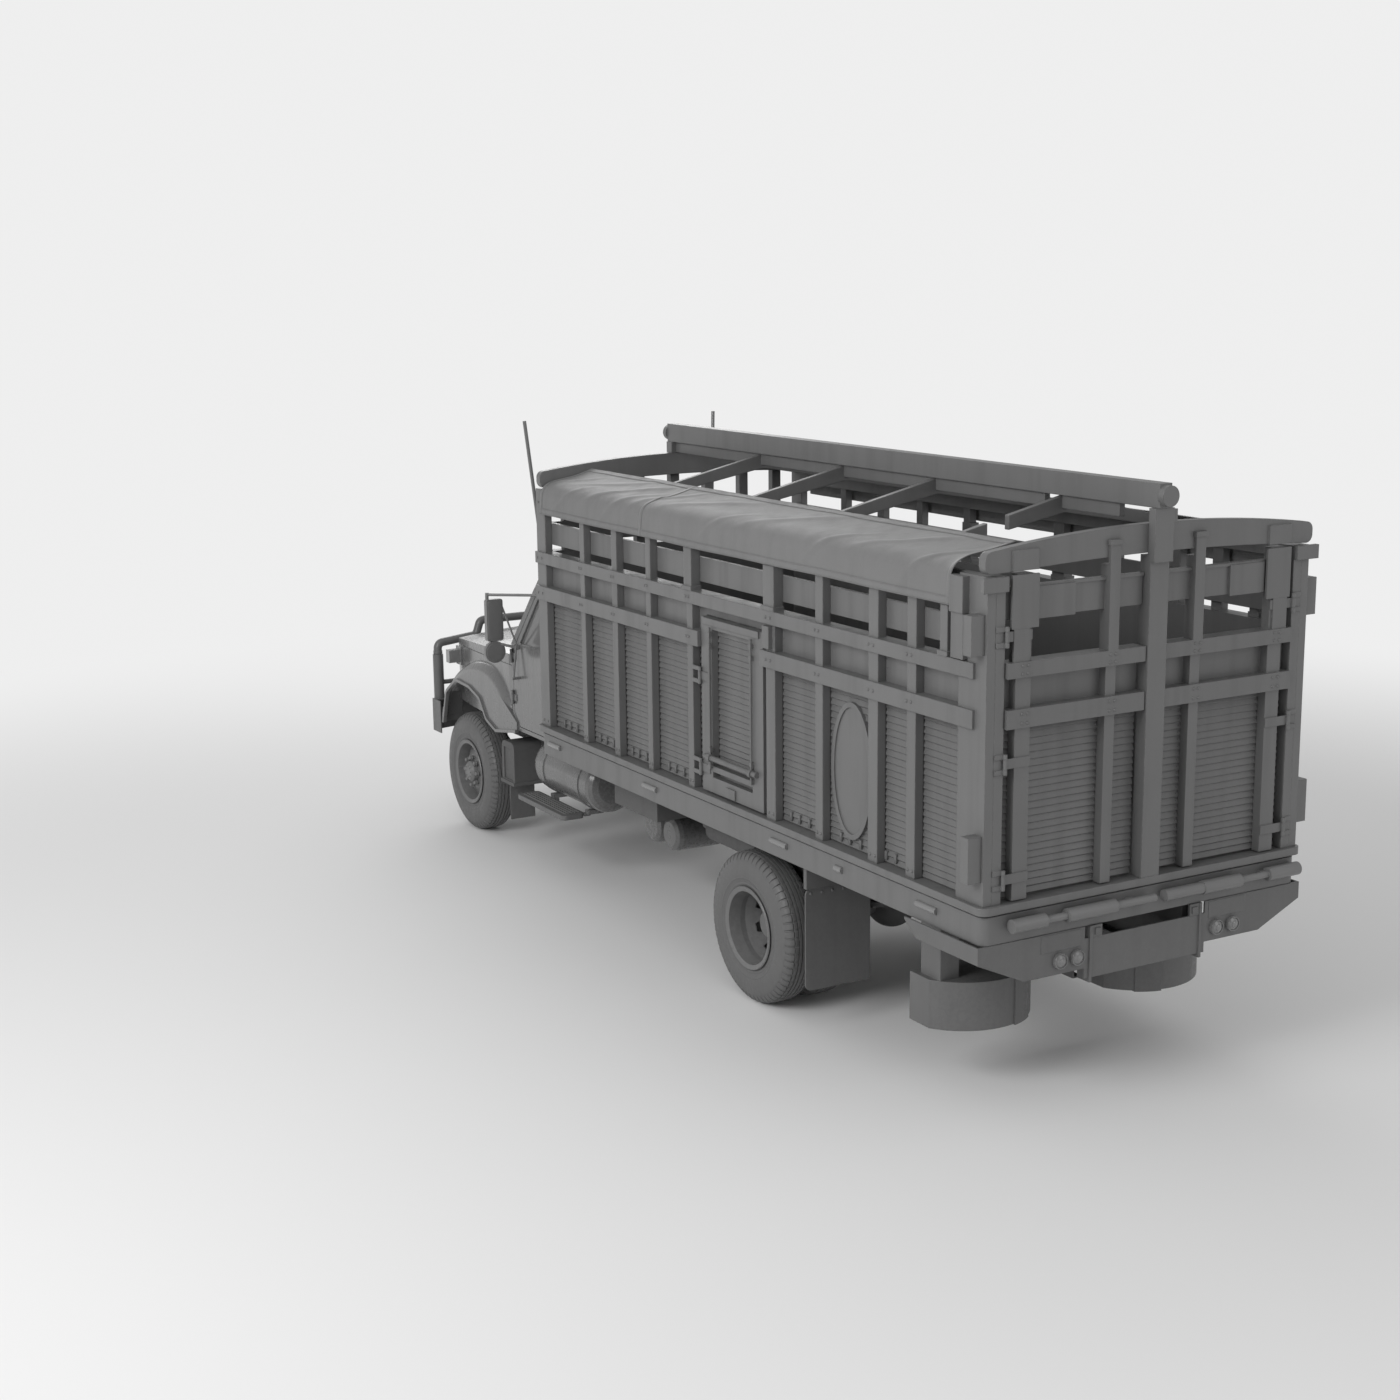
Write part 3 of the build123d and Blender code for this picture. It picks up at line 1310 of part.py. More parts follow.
# Steering knuckle: yoke, kingpin, spindle and the arm to the tie rod
yoke_gap = 0.6
ear = 42
spindle_end = 905
with BuildPart() as knuckle_left:
    for low, high in (
        (tyre_r - eye_half - yoke_gap - ear, tyre_r - eye_half - yoke_gap),
        (tyre_r + eye_half + yoke_gap, tyre_r + eye_half + yoke_gap + ear),
    ):
        with BuildSketch(Plane.XY.offset(low)):
            with Locations((front_axle_x, kingpin_y)):
                Circle(eye_r)
            with Locations((front_axle_x, kingpin_y + 35)):
                Rectangle(2 * eye_r, 72)
        extrude(amount=high - low)
    block(
        (front_axle_x - eye_r, front_axle_x + eye_r),
        (kingpin_y + eye_r + 3, kingpin_y + 71),
        (tyre_r - eye_half - ear, tyre_r + eye_half + ear),
    )
    rod((front_axle_x, kingpin_y, tyre_r - 72), (front_axle_x, kingpin_y, tyre_r + 72), kingpin_r)
    rod((front_axle_x, kingpin_y + 60, tyre_r), (front_axle_x, spindle_end, tyre_r), spindle_r)
    block(
        (front_axle_x - arm_length - 20, front_axle_x - 20),
        (arm_y - 20, arm_y + 20),
        (tyre_r - eye_half - ear, tyre_r - eye_half - ear + 24),
    )
    rod(
        (front_axle_x - arm_length, arm_y, tyre_r - eye_half - ear - 34),
        (front_axle_x - arm_length, arm_y, tyre_r - eye_half - ear),
        9,
    )
save(knuckle_left.part, "knuckle_left")
save(mirrored(knuckle_left.part), "knuckle_right")

with BuildPart() as tie_rod:
    level = tyre_r - eye_half - ear - 19
    rod((front_axle_x - arm_length, -arm_y, level), (front_axle_x - arm_length, arm_y, level), 16)
    for side in (1, -1):
        eye = (front_axle_x - arm_length, side * arm_y)
        rod((*eye, level - 14), (*eye, level + 14), 24)
        rod((*eye, level - 40), (*eye, level + 40), 9.6, Mode.SUBTRACT)
save(tie_rod.part, "tie_rod")

# Rear axle: casing, round differential cover and the propeller shaft to the gearbox
with BuildPart() as rear_axle:
    rod((rear_axle_x, -840, tyre_r), (rear_axle_x, 840, tyre_r), 62)
    rod((rear_axle_x, -1010, tyre_r), (rear_axle_x, 1010, tyre_r), spindle_r)
    with Locations((rear_axle_x, 0, tyre_r)):
        Sphere(185)
    rod((rear_axle_x, 0, tyre_r + 30), (rear_axle_x + 330, 0, tyre_r + 60), 75)
    rod((rear_axle_x + 320, 0, tyre_r + 60), (gearbox_rear - 15, 0, 765), 42)
    rod((gearbox_rear - 30, 0, 765), (gearbox_rear, 0, 765), 60)
    pair((rear_axle_x - 60, rear_axle_x + 60), (rail_outer - rail_flange, rail_outer), (tyre_r, 600))
save(rear_axle.part, "rear_axle")

# Tyres and wheels
hole_count = 8
hole_long = 74
hole_wide = 34


def tyre(x, y):
    """A plain tyre on the left, centred at y."""
    half = tyre_w / 2
    left = [
        (y + half - 72, tyre_r),
        (y + half - 14, tyre_r - 52),
        (y + half, bead_r + 110),
        (y + half - 12, bead_r + 40),
        (y + rim_w / 2, bead_r),
    ]
    right = [(2 * y - across, r) for across, r in reversed(left)]
    turned(x, tyre_r, right + left)


def rim(x, y):
    """The rolled rim under one tyre: a drop-centre band with two flanges."""
    half = rim_w / 2
    left = [
        (y + 40, bead_r - 36),
        (y + half + 12, bead_r - 24),
        (y + half + 22, flange_r - 6),
        (y + half + 14, flange_r),
        (y + half, bead_r - 0.5),
    ]
    right = [(2 * y - across, r) for across, r in reversed(left)]
    turned(x, tyre_r, right + left)


def ring_plane(x, y):
    """The plane square to the axle line at y, facing outward."""
    return Plane(origin=(x, y, tyre_r), x_dir=(1, 0, 0), z_dir=(0, 1, 0))


def nuts(x, y, circle_r, length):
    """Wheel nuts on a circle, standing outward from y."""
    with BuildSketch(ring_plane(x, y)) as ring:
        with PolarLocations(circle_r, wheel_nuts):
            RegularPolygon(17, 6)
    extrude(ring.sketch, amount=length, dir=(0, 1, 0))


def hand_holes(x, y, circle_r, length):
    """Long hand holes cut through a wheel disc, outward from y."""
    with BuildSketch(ring_plane(x, y)) as ring:
        with PolarLocations(circle_r, hole_count, start_angle=180 / hole_count):
            SlotOverall(hole_long, hole_wide, rotation=90)
    extrude(ring.sketch, amount=length, dir=(0, 1, 0), mode=Mode.SUBTRACT)


with BuildPart() as tyre_front_left:
    tyre(front_axle_x, front_tyre_y)
save(tyre_front_left.part, "tyre_front_left")
save(mirrored(tyre_front_left.part), "tyre_front_right")

hub_in = kingpin_y + 80
drum_out = hub_in + drum_w
disc_face = front_tyre_y + 78
with BuildPart() as wheel_front_left:
    rim(front_axle_x, front_tyre_y)
    disc = [
        (front_tyre_y + 22, bead_r - 30),
        (front_tyre_y + 50, 200),
        (disc_face, 150),
        (disc_face, 100),
        (disc_face + 40, 92),
        (disc_face + 62, 70),
        (disc_face + 62, 0),
        (front_tyre_y + 60, 0),
        (front_tyre_y + 60, spindle_r + spindle_gap),
        (hub_in, spindle_r + spindle_gap),
        (hub_in, 110),
        (front_tyre_y + 62, 110),
        (front_tyre_y + 62, 150),
        (front_tyre_y + 36, 198),
        (front_tyre_y + 8, bead_r - 32),
    ]
    turned(front_axle_x, tyre_r, disc)
    hand_holes(front_axle_x, front_tyre_y + 5, 212, 80)
    drum = [
        (hub_in, drum_r),
        (drum_out, drum_r),
        (drum_out, 100),
        (drum_out - 14, 100),
        (drum_out - 14, drum_r - 14),
        (hub_in, drum_r - 14),
    ]
    turned(front_axle_x, tyre_r, drum)
    nuts(front_axle_x, disc_face, 125, 34)
save(wheel_front_left.part, "wheel_front_left")
save(mirrored(wheel_front_left.part), "wheel_front_right")

with BuildPart() as tyres_rear_left:
    tyre(rear_axle_x, dual_outer_y)
    tyre(rear_axle_x, dual_inner_y)
save(tyres_rear_left.part, "tyres_rear_left")
save(mirrored(tyres_rear_left.part), "tyres_rear_right")

dual_mid = (dual_outer_y + dual_inner_y) / 2
with BuildPart() as wheels_rear_left:
    rim(rear_axle_x, dual_outer_y)
    rim(rear_axle_x, dual_inner_y)
    disc_out = [
        (dual_outer_y + 20, bead_r - 30),
        (dual_outer_y + 8, bead_r - 32),
        (dual_mid + 12, 200),
        (dual_mid + 1, 165),
        (dual_mid + 1, 100),
        (dual_mid + 16, 100),
        (dual_mid + 16, 160),
        (dual_mid + 26, 198),
    ]
    turned(rear_axle_x, tyre_r, disc_out)
    turned(rear_axle_x, tyre_r, [(2 * dual_mid - y, r) for y, r in disc_out])
    hand_holes(rear_axle_x, dual_mid - 160, 205, 320)
    hub = [
        (dual_mid - 60, spindle_r + spindle_gap),
        (dual_mid - 60, 112),
        (dual_mid + 40, 112),
        (dual_mid + 50, 95),
        (dual_mid + 135, 85),
        (dual_mid + 135, 0),
        (dual_mid + 108, 0),
        (dual_mid + 108, spindle_r + spindle_gap),
    ]
    turned(rear_axle_x, tyre_r, hub)
    nuts(rear_axle_x, dual_mid + 10, 135, 34)
save(wheels_rear_left.part, "wheels_rear_left")
save(mirrored(wheels_rear_left.part), "wheels_rear_right")
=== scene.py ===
import json
import math

import bmesh
import bpy
from mathutils import Matrix, Vector, noise


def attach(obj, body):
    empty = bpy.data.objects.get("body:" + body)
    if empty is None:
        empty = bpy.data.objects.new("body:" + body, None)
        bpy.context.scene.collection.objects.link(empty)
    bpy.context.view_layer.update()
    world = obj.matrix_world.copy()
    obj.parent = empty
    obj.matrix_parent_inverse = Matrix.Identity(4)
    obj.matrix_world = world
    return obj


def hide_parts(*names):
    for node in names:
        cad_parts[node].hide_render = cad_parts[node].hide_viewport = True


# A slatted-body cargo truck: finishes, cloth tarpaulins, treads, seat pads and fittings.
# Metres. +X forward, +Y to the truck's left, +Z up, the floor at z = 0.

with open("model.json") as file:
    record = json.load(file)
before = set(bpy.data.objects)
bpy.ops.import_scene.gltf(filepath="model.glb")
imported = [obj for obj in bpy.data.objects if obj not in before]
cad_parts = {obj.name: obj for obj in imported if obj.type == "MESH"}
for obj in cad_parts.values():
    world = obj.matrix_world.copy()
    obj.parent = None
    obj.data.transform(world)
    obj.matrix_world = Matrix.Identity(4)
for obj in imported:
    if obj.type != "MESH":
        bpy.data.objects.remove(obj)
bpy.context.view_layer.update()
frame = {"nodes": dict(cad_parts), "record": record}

FRAME_BODY = "truck"


# Camera

IMAGE_SIDE = 1400
FOCAL_PIXELS = 2090.97
SENSOR = 36.0
CAMERA_PLACE = (-13.4247, 8.2635, 5.0026)
CAMERA_AZIMUTH = -0.5184
CAMERA_ELEVATION = -0.2060
CAMERA_ROLL = -0.0123


def make_camera():
    """The camera at the photograph's place and angle."""
    forward = Vector((
        math.cos(CAMERA_ELEVATION) * math.cos(CAMERA_AZIMUTH),
        math.cos(CAMERA_ELEVATION) * math.sin(CAMERA_AZIMUTH),
        math.sin(CAMERA_ELEVATION),
    ))
    right = forward.cross(Vector((0, 0, 1))).normalized()
    up = right.cross(forward)
    turn = Matrix.Rotation(-CAMERA_ROLL, 3, "Z")
    axes = turn @ Matrix((right, up, -forward))
    data = bpy.data.cameras.new("camera")
    data.sensor_width = SENSOR
    data.lens = FOCAL_PIXELS * SENSOR / IMAGE_SIDE
    data.clip_end = 200
    camera = bpy.data.objects.new("camera", data)
    bpy.context.collection.objects.link(camera)
    camera.matrix_world = Matrix.Translation(CAMERA_PLACE) @ axes.transposed().to_4x4()
    bpy.context.scene.camera = camera


# Shader groups

def node_group(name, inputs, outputs):
    """A shader group with named float sockets, except that Tint, Color and Normal say what they are."""
    kinds = {"Color": "NodeSocketColor", "Tint": "NodeSocketColor", "Normal": "NodeSocketVector"}
    tree = bpy.data.node_groups.new(name, "ShaderNodeTree")
    for label, value in inputs:
        kind = kinds.get(label, "NodeSocketFloat")
        socket = tree.interface.new_socket(label, in_out="INPUT", socket_type=kind)
        if value is not None:
            socket.default_value = value
    for label in outputs:
        kind = kinds.get(label, "NodeSocketFloat")
        tree.interface.new_socket(label, in_out="OUTPUT", socket_type=kind)
    return tree, tree.nodes.new("NodeGroupInput"), tree.nodes.new("NodeGroupOutput")


def value_of(tree, operation, *terms):
    """One math node: each term is a number or an output socket."""
    node = tree.nodes.new("ShaderNodeMath")
    node.operation = operation
    for socket, term in zip(node.inputs, terms):
        if isinstance(term, (int, float)):
            socket.default_value = term
        else:
            tree.links.new(term, socket)
    return node.outputs[0]


def noise_of(tree, scale, detail=4.0, stretch=(1, 1, 1), roughness=0.55):
    """A noise pattern on object coordinates. A stretch under 1 lengthens it along that axis."""
    place = tree.nodes.new("ShaderNodeTexCoord")
    mapping = tree.nodes.new("ShaderNodeMapping")
    mapping.inputs["Scale"].default_value = stretch
    pattern = tree.nodes.new("ShaderNodeTexNoise")
    pattern.inputs["Detail"].default_value = detail
    pattern.inputs["Roughness"].default_value = roughness
    tree.links.new(place.outputs["Object"], mapping.inputs["Vector"])
    tree.links.new(mapping.outputs[0], pattern.inputs["Vector"])
    if isinstance(scale, (int, float)):
        pattern.inputs["Scale"].default_value = scale
    else:
        tree.links.new(scale, pattern.inputs["Scale"])
    return pattern.outputs["Fac"]


def ranged(tree, value, low, high, out_low=0.0, out_high=1.0):
    """Maps low..high to out_low..out_high, clamped and smooth."""
    node = tree.nodes.new("ShaderNodeMapRange")
    node.interpolation_type = "SMOOTHSTEP"
    tree.links.new(value, node.inputs["Value"])
    for label, number in (("From Min", low), ("From Max", high), ("To Min", out_low), ("To Max", out_high)):
        node.inputs[label].default_value = number
    return node.outputs[0]


def shade(tree, colour, factor):
    """The colour with its brightness multiplied by factor."""
    node = tree.nodes.new("ShaderNodeVectorMath")
    node.operation = "SCALE"
    tree.links.new(colour, node.inputs[0])
    tree.links.new(factor, node.inputs["Scale"])
    return node.outputs[0]


BLOTCH_SHARE = 0.035
STREAK_SHARE = 0.16
GRAIN_SHARE = 0.10
DUST_SHARE = 0.16
DUST_TOP, DUST_FLOOR = 1.6, 0.2


def make_weathering():
    """Old paint: blotches, rain streaks, fine grain and road dust low down."""
    tree, given, out = node_group(
        "weathering",
        [("Tint", None), ("Streaks", 0.5), ("Dust", 0.5), ("Roughness", 0.5), ("Grain", 220.0)],
        ["Color", "Roughness", "Height"],
    )
    blotch = ranged(tree, noise_of(tree, 1.7), 0.3, 0.7, -1, 1)
    streak = ranged(tree, noise_of(tree, 9.0, 5.0, (1, 1, 0.07)), 0.42, 0.75)
    grain = noise_of(tree, given.outputs["Grain"], 3.0)
    place = tree.nodes.new("ShaderNodeTexCoord")
    split = tree.nodes.new("ShaderNodeSeparateXYZ")
    tree.links.new(place.outputs["Object"], split.inputs[0])
    low = ranged(tree, split.outputs["Z"], DUST_TOP, DUST_FLOOR)
    speckle = ranged(tree, noise_of(tree, 34.0, 6.0, roughness=0.7), 0.4, 0.62)
    dust = value_of(tree, "MULTIPLY", value_of(tree, "MULTIPLY", low, speckle), given.outputs["Dust"])
    washed = value_of(tree, "MULTIPLY", given.outputs["Streaks"], STREAK_SHARE)
    grit = value_of(tree, "MULTIPLY", value_of(tree, "SUBTRACT", grain, 0.5), GRAIN_SHARE)
    tone = value_of(tree, "MULTIPLY", blotch, BLOTCH_SHARE)
    tone = value_of(tree, "SUBTRACT", tone, value_of(tree, "MULTIPLY", streak, washed))
    tone = value_of(tree, "ADD", tone, grit)
    tone = value_of(tree, "ADD", tone, value_of(tree, "MULTIPLY", dust, DUST_SHARE))
    tree.links.new(shade(tree, given.outputs["Tint"], value_of(tree, "ADD", tone, 1.0)), out.inputs["Color"])
    rough = value_of(tree, "ADD", given.outputs["Roughness"], value_of(tree, "MULTIPLY", streak, 0.10))
    rough = value_of(tree, "ADD", rough, value_of(tree, "MULTIPLY", dust, 0.30))
    tree.links.new(rough, out.inputs["Roughness"])
    tree.links.new(grain, out.inputs["Height"])
    return tree


def make_worn_highlit_edges():
    """Rounds hard edges by a radius and gives a mask of the edges that are lightened: rubbed paint and a
    painted highlight.
    """
    tree, given, out = node_group("worn_highlit_edges", [("Radius", 0.006), ("Breakup", 30.0)], ["Worn", "Normal"])
    bevel = tree.nodes.new("ShaderNodeBevel")
    bevel.samples = 6
    tree.links.new(given.outputs["Radius"], bevel.inputs["Radius"])
    flat = tree.nodes.new("ShaderNodeNewGeometry")
    dot = tree.nodes.new("ShaderNodeVectorMath")
    dot.operation = "DOT_PRODUCT"
    tree.links.new(bevel.outputs[0], dot.inputs[0])
    tree.links.new(flat.outputs["Normal"], dot.inputs[1])
    # The mask of lightened edges, broken up by noise: rubbed paint and a painted highlight.
    turn = ranged(tree, value_of(tree, "SUBTRACT", 1.0, dot.outputs["Value"]), 0.02, 0.25)
    patch = ranged(tree, noise_of(tree, given.outputs["Breakup"], 6.0), 0.42, 0.62)
    tree.links.new(value_of(tree, "MULTIPLY", turn, patch), out.inputs["Worn"])
    tree.links.new(bevel.outputs[0], out.inputs["Normal"])
    return tree


def make_canvas_weave():
    """Plain woven canvas on the piece's UV map, in metres of cloth: threads over and under."""
    tree, given, out = node_group("canvas_weave", [("Threads", 400.0)], ["Height", "Shadow"])
    place = tree.nodes.new("ShaderNodeTexCoord")
    split = tree.nodes.new("ShaderNodeSeparateXYZ")
    tree.links.new(place.outputs["UV"], split.inputs[0])
    waves = []
    for axis in ("X", "Y"):
        turn = value_of(tree, "MULTIPLY", split.outputs[axis], given.outputs["Threads"])
        waves.append(value_of(tree, "SINE", value_of(tree, "MULTIPLY", turn, 2 * math.pi)))
    height = value_of(tree, "MULTIPLY", waves[0], waves[1])
    tree.links.new(height, out.inputs["Height"])
    tree.links.new(ranged(tree, height, -1.0, 1.0), out.inputs["Shadow"])
    return tree


GROUPS = {}


def place_group(tree, name, **values):
    """An instance of one of the shared groups in a material, with its own values."""
    node = tree.nodes.new("ShaderNodeGroup")
    node.node_tree = GROUPS[name]
    for label, value in values.items():
        node.inputs[label].default_value = value
    return node


def bumped(tree, height, strength, distance, normal=None):
    """A bump node over an optional rounded normal."""
    bump = tree.nodes.new("ShaderNodeBump")
    bump.inputs["Strength"].default_value = strength
    bump.inputs["Distance"].default_value = distance
    tree.links.new(height, bump.inputs["Height"])
    if normal is not None:
        tree.links.new(normal, bump.inputs["Normal"])
    return bump.outputs[0]


# Materials

MATERIALS = {}
# How much lighter the edges are: rubbed paint and a painted highlight.
RUBBED_AND_HIGHLIGHT = 1.7
# The worn value is the share of the edges' lightening: rubbed paint and a painted highlight.
PLAIN_PAINT = {
    "streaks": 0.5, "dust": 0.5, "wear_and_highlight": 0.35, "radius": 0.006, "coat": 0.0, "grain": 220.0, "bump": 0.08,
}


def grey(tone):
    """A tone as a colour."""
    return (tone, tone, tone, 1)


def painted(name, tone, roughness, **departures):
    """Painted or cast metal with weathering, rounded corners, and edges lightened for rubbed paint and a
    painted highlight.
    """
    look = {**PLAIN_PAINT, **departures}
    material = bpy.data.materials.new(name)
    material.use_nodes = True
    tree = material.node_tree
    shader = tree.nodes["Principled BSDF"]
    shader.inputs["Coat Weight"].default_value = look["coat"]
    shader.inputs["Coat Roughness"].default_value = 0.12
    weather = place_group(
        tree, "weathering", Tint=grey(tone), Streaks=look["streaks"], Dust=look["dust"],
        Roughness=roughness, Grain=look["grain"])
    edges = place_group(tree, "worn_highlit_edges", Radius=look["radius"])
    # The edges lightened by the mask: rubbed paint and a painted highlight.
    rubbed_and_highlight = tree.nodes.new("ShaderNodeMix")
    rubbed_and_highlight.data_type = "RGBA"
    rubbed_and_highlight.inputs["B"].default_value = grey(tone * RUBBED_AND_HIGHLIGHT)
    tree.links.new(value_of(tree, "MULTIPLY", edges.outputs["Worn"], look["wear_and_highlight"]), rubbed_and_highlight.inputs["Factor"])
    tree.links.new(weather.outputs["Color"], rubbed_and_highlight.inputs["A"])
    tree.links.new(rubbed_and_highlight.outputs["Result"], shader.inputs["Base Color"])
    tree.links.new(weather.outputs["Roughness"], shader.inputs["Roughness"])
    normal = bumped(tree, weather.outputs["Height"], look["bump"], 0.001, edges.outputs["Normal"])
    tree.links.new(normal, shader.inputs["Normal"])
    MATERIALS[name] = material


CANVAS_TONE = 0.158
CANVAS_THREADS = 420.0


def make_canvas():
    """Waxed canvas: stains, a weave on the cloth's own map, and a faint sheen."""
    material = bpy.data.materials.new("canvas")
    material.use_nodes = True
    tree = material.node_tree
    shader = tree.nodes["Principled BSDF"]
    shader.inputs["Sheen Weight"].default_value = 0.15
    weather = place_group(
        tree, "weathering", Tint=grey(CANVAS_TONE), Streaks=0.25, Dust=0.0, Roughness=0.52, Grain=40.0)
    weave = place_group(tree, "canvas_weave", Threads=CANVAS_THREADS)
    shadow = value_of(tree, "ADD", value_of(tree, "MULTIPLY", weave.outputs["Shadow"], 0.08), 0.95)
    tree.links.new(shade(tree, weather.outputs["Color"], shadow), shader.inputs["Base Color"])
    tree.links.new(weather.outputs["Roughness"], shader.inputs["Roughness"])
    soft = bumped(tree, weather.outputs["Height"], 0.25, 0.004)
    tree.links.new(bumped(tree, weave.outputs["Height"], 0.2, 0.0005, soft), shader.inputs["Normal"])
    MATERIALS["canvas"] = material


# Each worn value sets how much the edges lighten: rubbed paint and a painted highlight.
FINISHES = [
    # slot, tone, roughness and what departs from plain paint
    ("body_paint", 0.142, 0.36, {"streaks": 0.6, "wear_and_highlight": 0.6, "radius": 0.010}),
    ("slat_paint", 0.138, 0.36, {"streaks": 0.8, "wear_and_highlight": 0.6, "radius": 0.003}),
    ("deck_boards", 0.125, 0.75, {"streaks": 0.2, "grain": 60.0, "bump": 0.4}),
    ("cab_paint", 0.128, 0.26, {"streaks": 0.2, "wear_and_highlight": 0.15, "coat": 0.6, "bump": 0.02}),
    ("trim_metal", 0.165, 0.28, {"streaks": 0.1, "wear_and_highlight": 0.2, "radius": 0.005}),
    ("bumper_paint", 0.122, 0.32, {"streaks": 0.4, "wear_and_highlight": 0.5, "dust": 0.9, "radius": 0.008}),
    ("chassis_paint", 0.095, 0.55, {"streaks": 0.3, "dust": 1.0, "radius": 0.005}),
    ("engine_metal", 0.110, 0.60, {"dust": 0.8, "grain": 120.0, "bump": 0.3}),
    ("tank_metal", 0.130, 0.22, {"streaks": 0.2, "wear_and_highlight": 0.1, "coat": 0.4}),
    ("wheel_paint", 0.150, 0.28, {"streaks": 0.1, "dust": 0.8, "radius": 0.004}),
    ("tyre_rubber", 0.112, 0.42,
        {"streaks": 0.1, "dust": 1.0, "wear_and_highlight": 0.1, "radius": 0.002, "grain": 90.0, "bump": 0.3}),
    ("flap_rubber", 0.110, 0.42, {"streaks": 0.4, "dust": 1.0, "wear_and_highlight": 0.2, "grain": 90.0, "bump": 0.3}),
    ("cabin_plastic", 0.120, 0.55, {"streaks": 0.0, "dust": 0.0, "wear_and_highlight": 0.1, "grain": 300.0, "bump": 0.3}),
    ("seat_vinyl", 0.130, 0.48, {"streaks": 0.0, "dust": 0.0, "wear_and_highlight": 0.0, "grain": 260.0, "bump": 0.4}),
    ("lens", 0.180, 0.14, {"streaks": 0.0, "dust": 0.3, "wear_and_highlight": 0.0, "coat": 0.8, "radius": 0.004}),
    ("glass", 0.150, 0.08,
        {"streaks": 0.1, "dust": 0.2, "wear_and_highlight": 0.0, "coat": 0.6, "bump": 0.0, "radius": 0.002}),
]


def make_materials():
    """One finish for each slot of the record, all in the photograph's greys."""
    GROUPS["weathering"] = make_weathering()
    GROUPS["worn_highlit_edges"] = make_worn_highlit_edges()
    GROUPS["canvas_weave"] = make_canvas_weave()
    for name, tone, roughness, rest in FINISHES:
        painted(name, tone, roughness, **rest)
    make_canvas()


def dress_nodes():
    """Gives every CAD node its slot's finish."""
    slots = {part["node"]: part["material_slot"] for part in frame["record"]["subparts"]}
    for name, node in frame["nodes"].items():
        material = MATERIALS[slots[name]]
        if not node.material_slots:
            node.data.materials.append(material)
        for place in node.material_slots:
            place.material = material


# Studio

FLOOR_REACH = 80
FLOOR_TONE = 0.80
FADE_FROM, FADE_TO = 6.0, 14.0
BACKDROP = 0.86
ROOM_LIGHT = 0.56
LAMP_AIM = (0, 0, 1.5)
LAMPS = [
    # name, place, watts, width
    ("key", (-5.0, 14.0, 9.0), 1150, 7.0),
    ("rear", (-15.0, -4.0, 7.0), 170, 8.0),
    ("front", (13.0, -4.0, 8.0), 450, 8.0),
]


def make_floor():
    """A pale floor that fades into the backdrop's tone before any horizon."""
    mesh = bpy.data.meshes.new("floor")
    far = FLOOR_REACH
    corners = [(-far, -far, 0), (far, -far, 0), (far, far, 0), (-far, far, 0)]
    mesh.from_pydata(corners, [], [(0, 1, 2, 3)])
    floor = bpy.data.objects.new("floor", mesh)
    bpy.context.collection.objects.link(floor)
    finish = bpy.data.materials.new("floor")
    finish.use_nodes = True
    tree = finish.node_tree
    shader = tree.nodes["Principled BSDF"]
    shader.inputs["Base Color"].default_value = grey(FLOOR_TONE)
    shader.inputs["Roughness"].default_value = 0.95
    shader.inputs["Specular IOR Level"].default_value = 0.0
    place = tree.nodes.new("ShaderNodeTexCoord")
    length = tree.nodes.new("ShaderNodeVectorMath")
    length.operation = "LENGTH"
    tree.links.new(place.outputs["Object"], length.inputs[0])
    paper = tree.nodes.new("ShaderNodeEmission")
    paper.inputs["Color"].default_value = grey(BACKDROP)
    fade = tree.nodes.new("ShaderNodeMixShader")
    path = tree.nodes.new("ShaderNodeLightPath")
    seen = value_of(tree, "MAXIMUM", path.outputs["Is Camera Ray"], path.outputs["Is Glossy Ray"])
    away = ranged(tree, length.outputs["Value"], FADE_FROM, FADE_TO)
    tree.links.new(value_of(tree, "MULTIPLY", away, seen), fade.inputs[0])
    tree.links.new(shader.outputs[0], fade.inputs[1])
    tree.links.new(paper.outputs[0], fade.inputs[2])
    tree.links.new(fade.outputs[0], tree.nodes["Material Output"].inputs[0])
    mesh.materials.append(finish)


def make_room():
    """Even light from all round, and a pale backdrop behind what the camera sees."""
    world = bpy.data.worlds.new("room")
    bpy.context.scene.world = world
    world.use_nodes = True
    tree = world.node_tree
    tree.nodes.clear()
    out = tree.nodes.new("ShaderNodeOutputWorld")
    mix = tree.nodes.new("ShaderNodeMixShader")
    path = tree.nodes.new("ShaderNodeLightPath")
    for tone, strength, slot in ((1.0, ROOM_LIGHT, 1), (BACKDROP, 1.0, 2)):
        light = tree.nodes.new("ShaderNodeBackground")
        light.inputs["Color"].default_value = grey(tone)
        light.inputs["Strength"].default_value = strength
        tree.links.new(light.outputs[0], mix.inputs[slot])
    either = value_of(tree, "MAXIMUM", path.outputs["Is Camera Ray"], path.outputs["Is Transmission Ray"])
    tree.links.new(either, mix.inputs[0])
    tree.links.new(mix.outputs[0], out.inputs[0])


def make_lights():
    """Three soft lamps aimed at the truck's middle."""
    for name, place, watts, width in LAMPS:
        data = bpy.data.lights.new(name, "AREA")
        data.energy = watts
        data.size = width
        lamp = bpy.data.objects.new(name, data)
        bpy.context.collection.objects.link(lamp)
        lamp.location = place
        lamp.rotation_mode = "QUATERNION"
        lamp.rotation_quaternion = (Vector(LAMP_AIM) - Vector(place)).to_track_quat("-Z", "Y")
    bpy.context.scene.view_settings.view_transform = "Standard"


# Mesh helpers

SIDES = ((1, "left"), (-1, "right"))
CREASE = math.radians(35)
SOFT_CREASE = math.radians(50)
BACKWARD = Matrix.Rotation(-math.pi / 2, 4, "Y")
FORWARD = Matrix.Rotation(math.pi / 2, 4, "Y")


def outward(side):
    """Turns +Z to the truck's left (1) or right (-1)."""
    return Matrix.Rotation(-side * math.pi / 2, 4, "X")


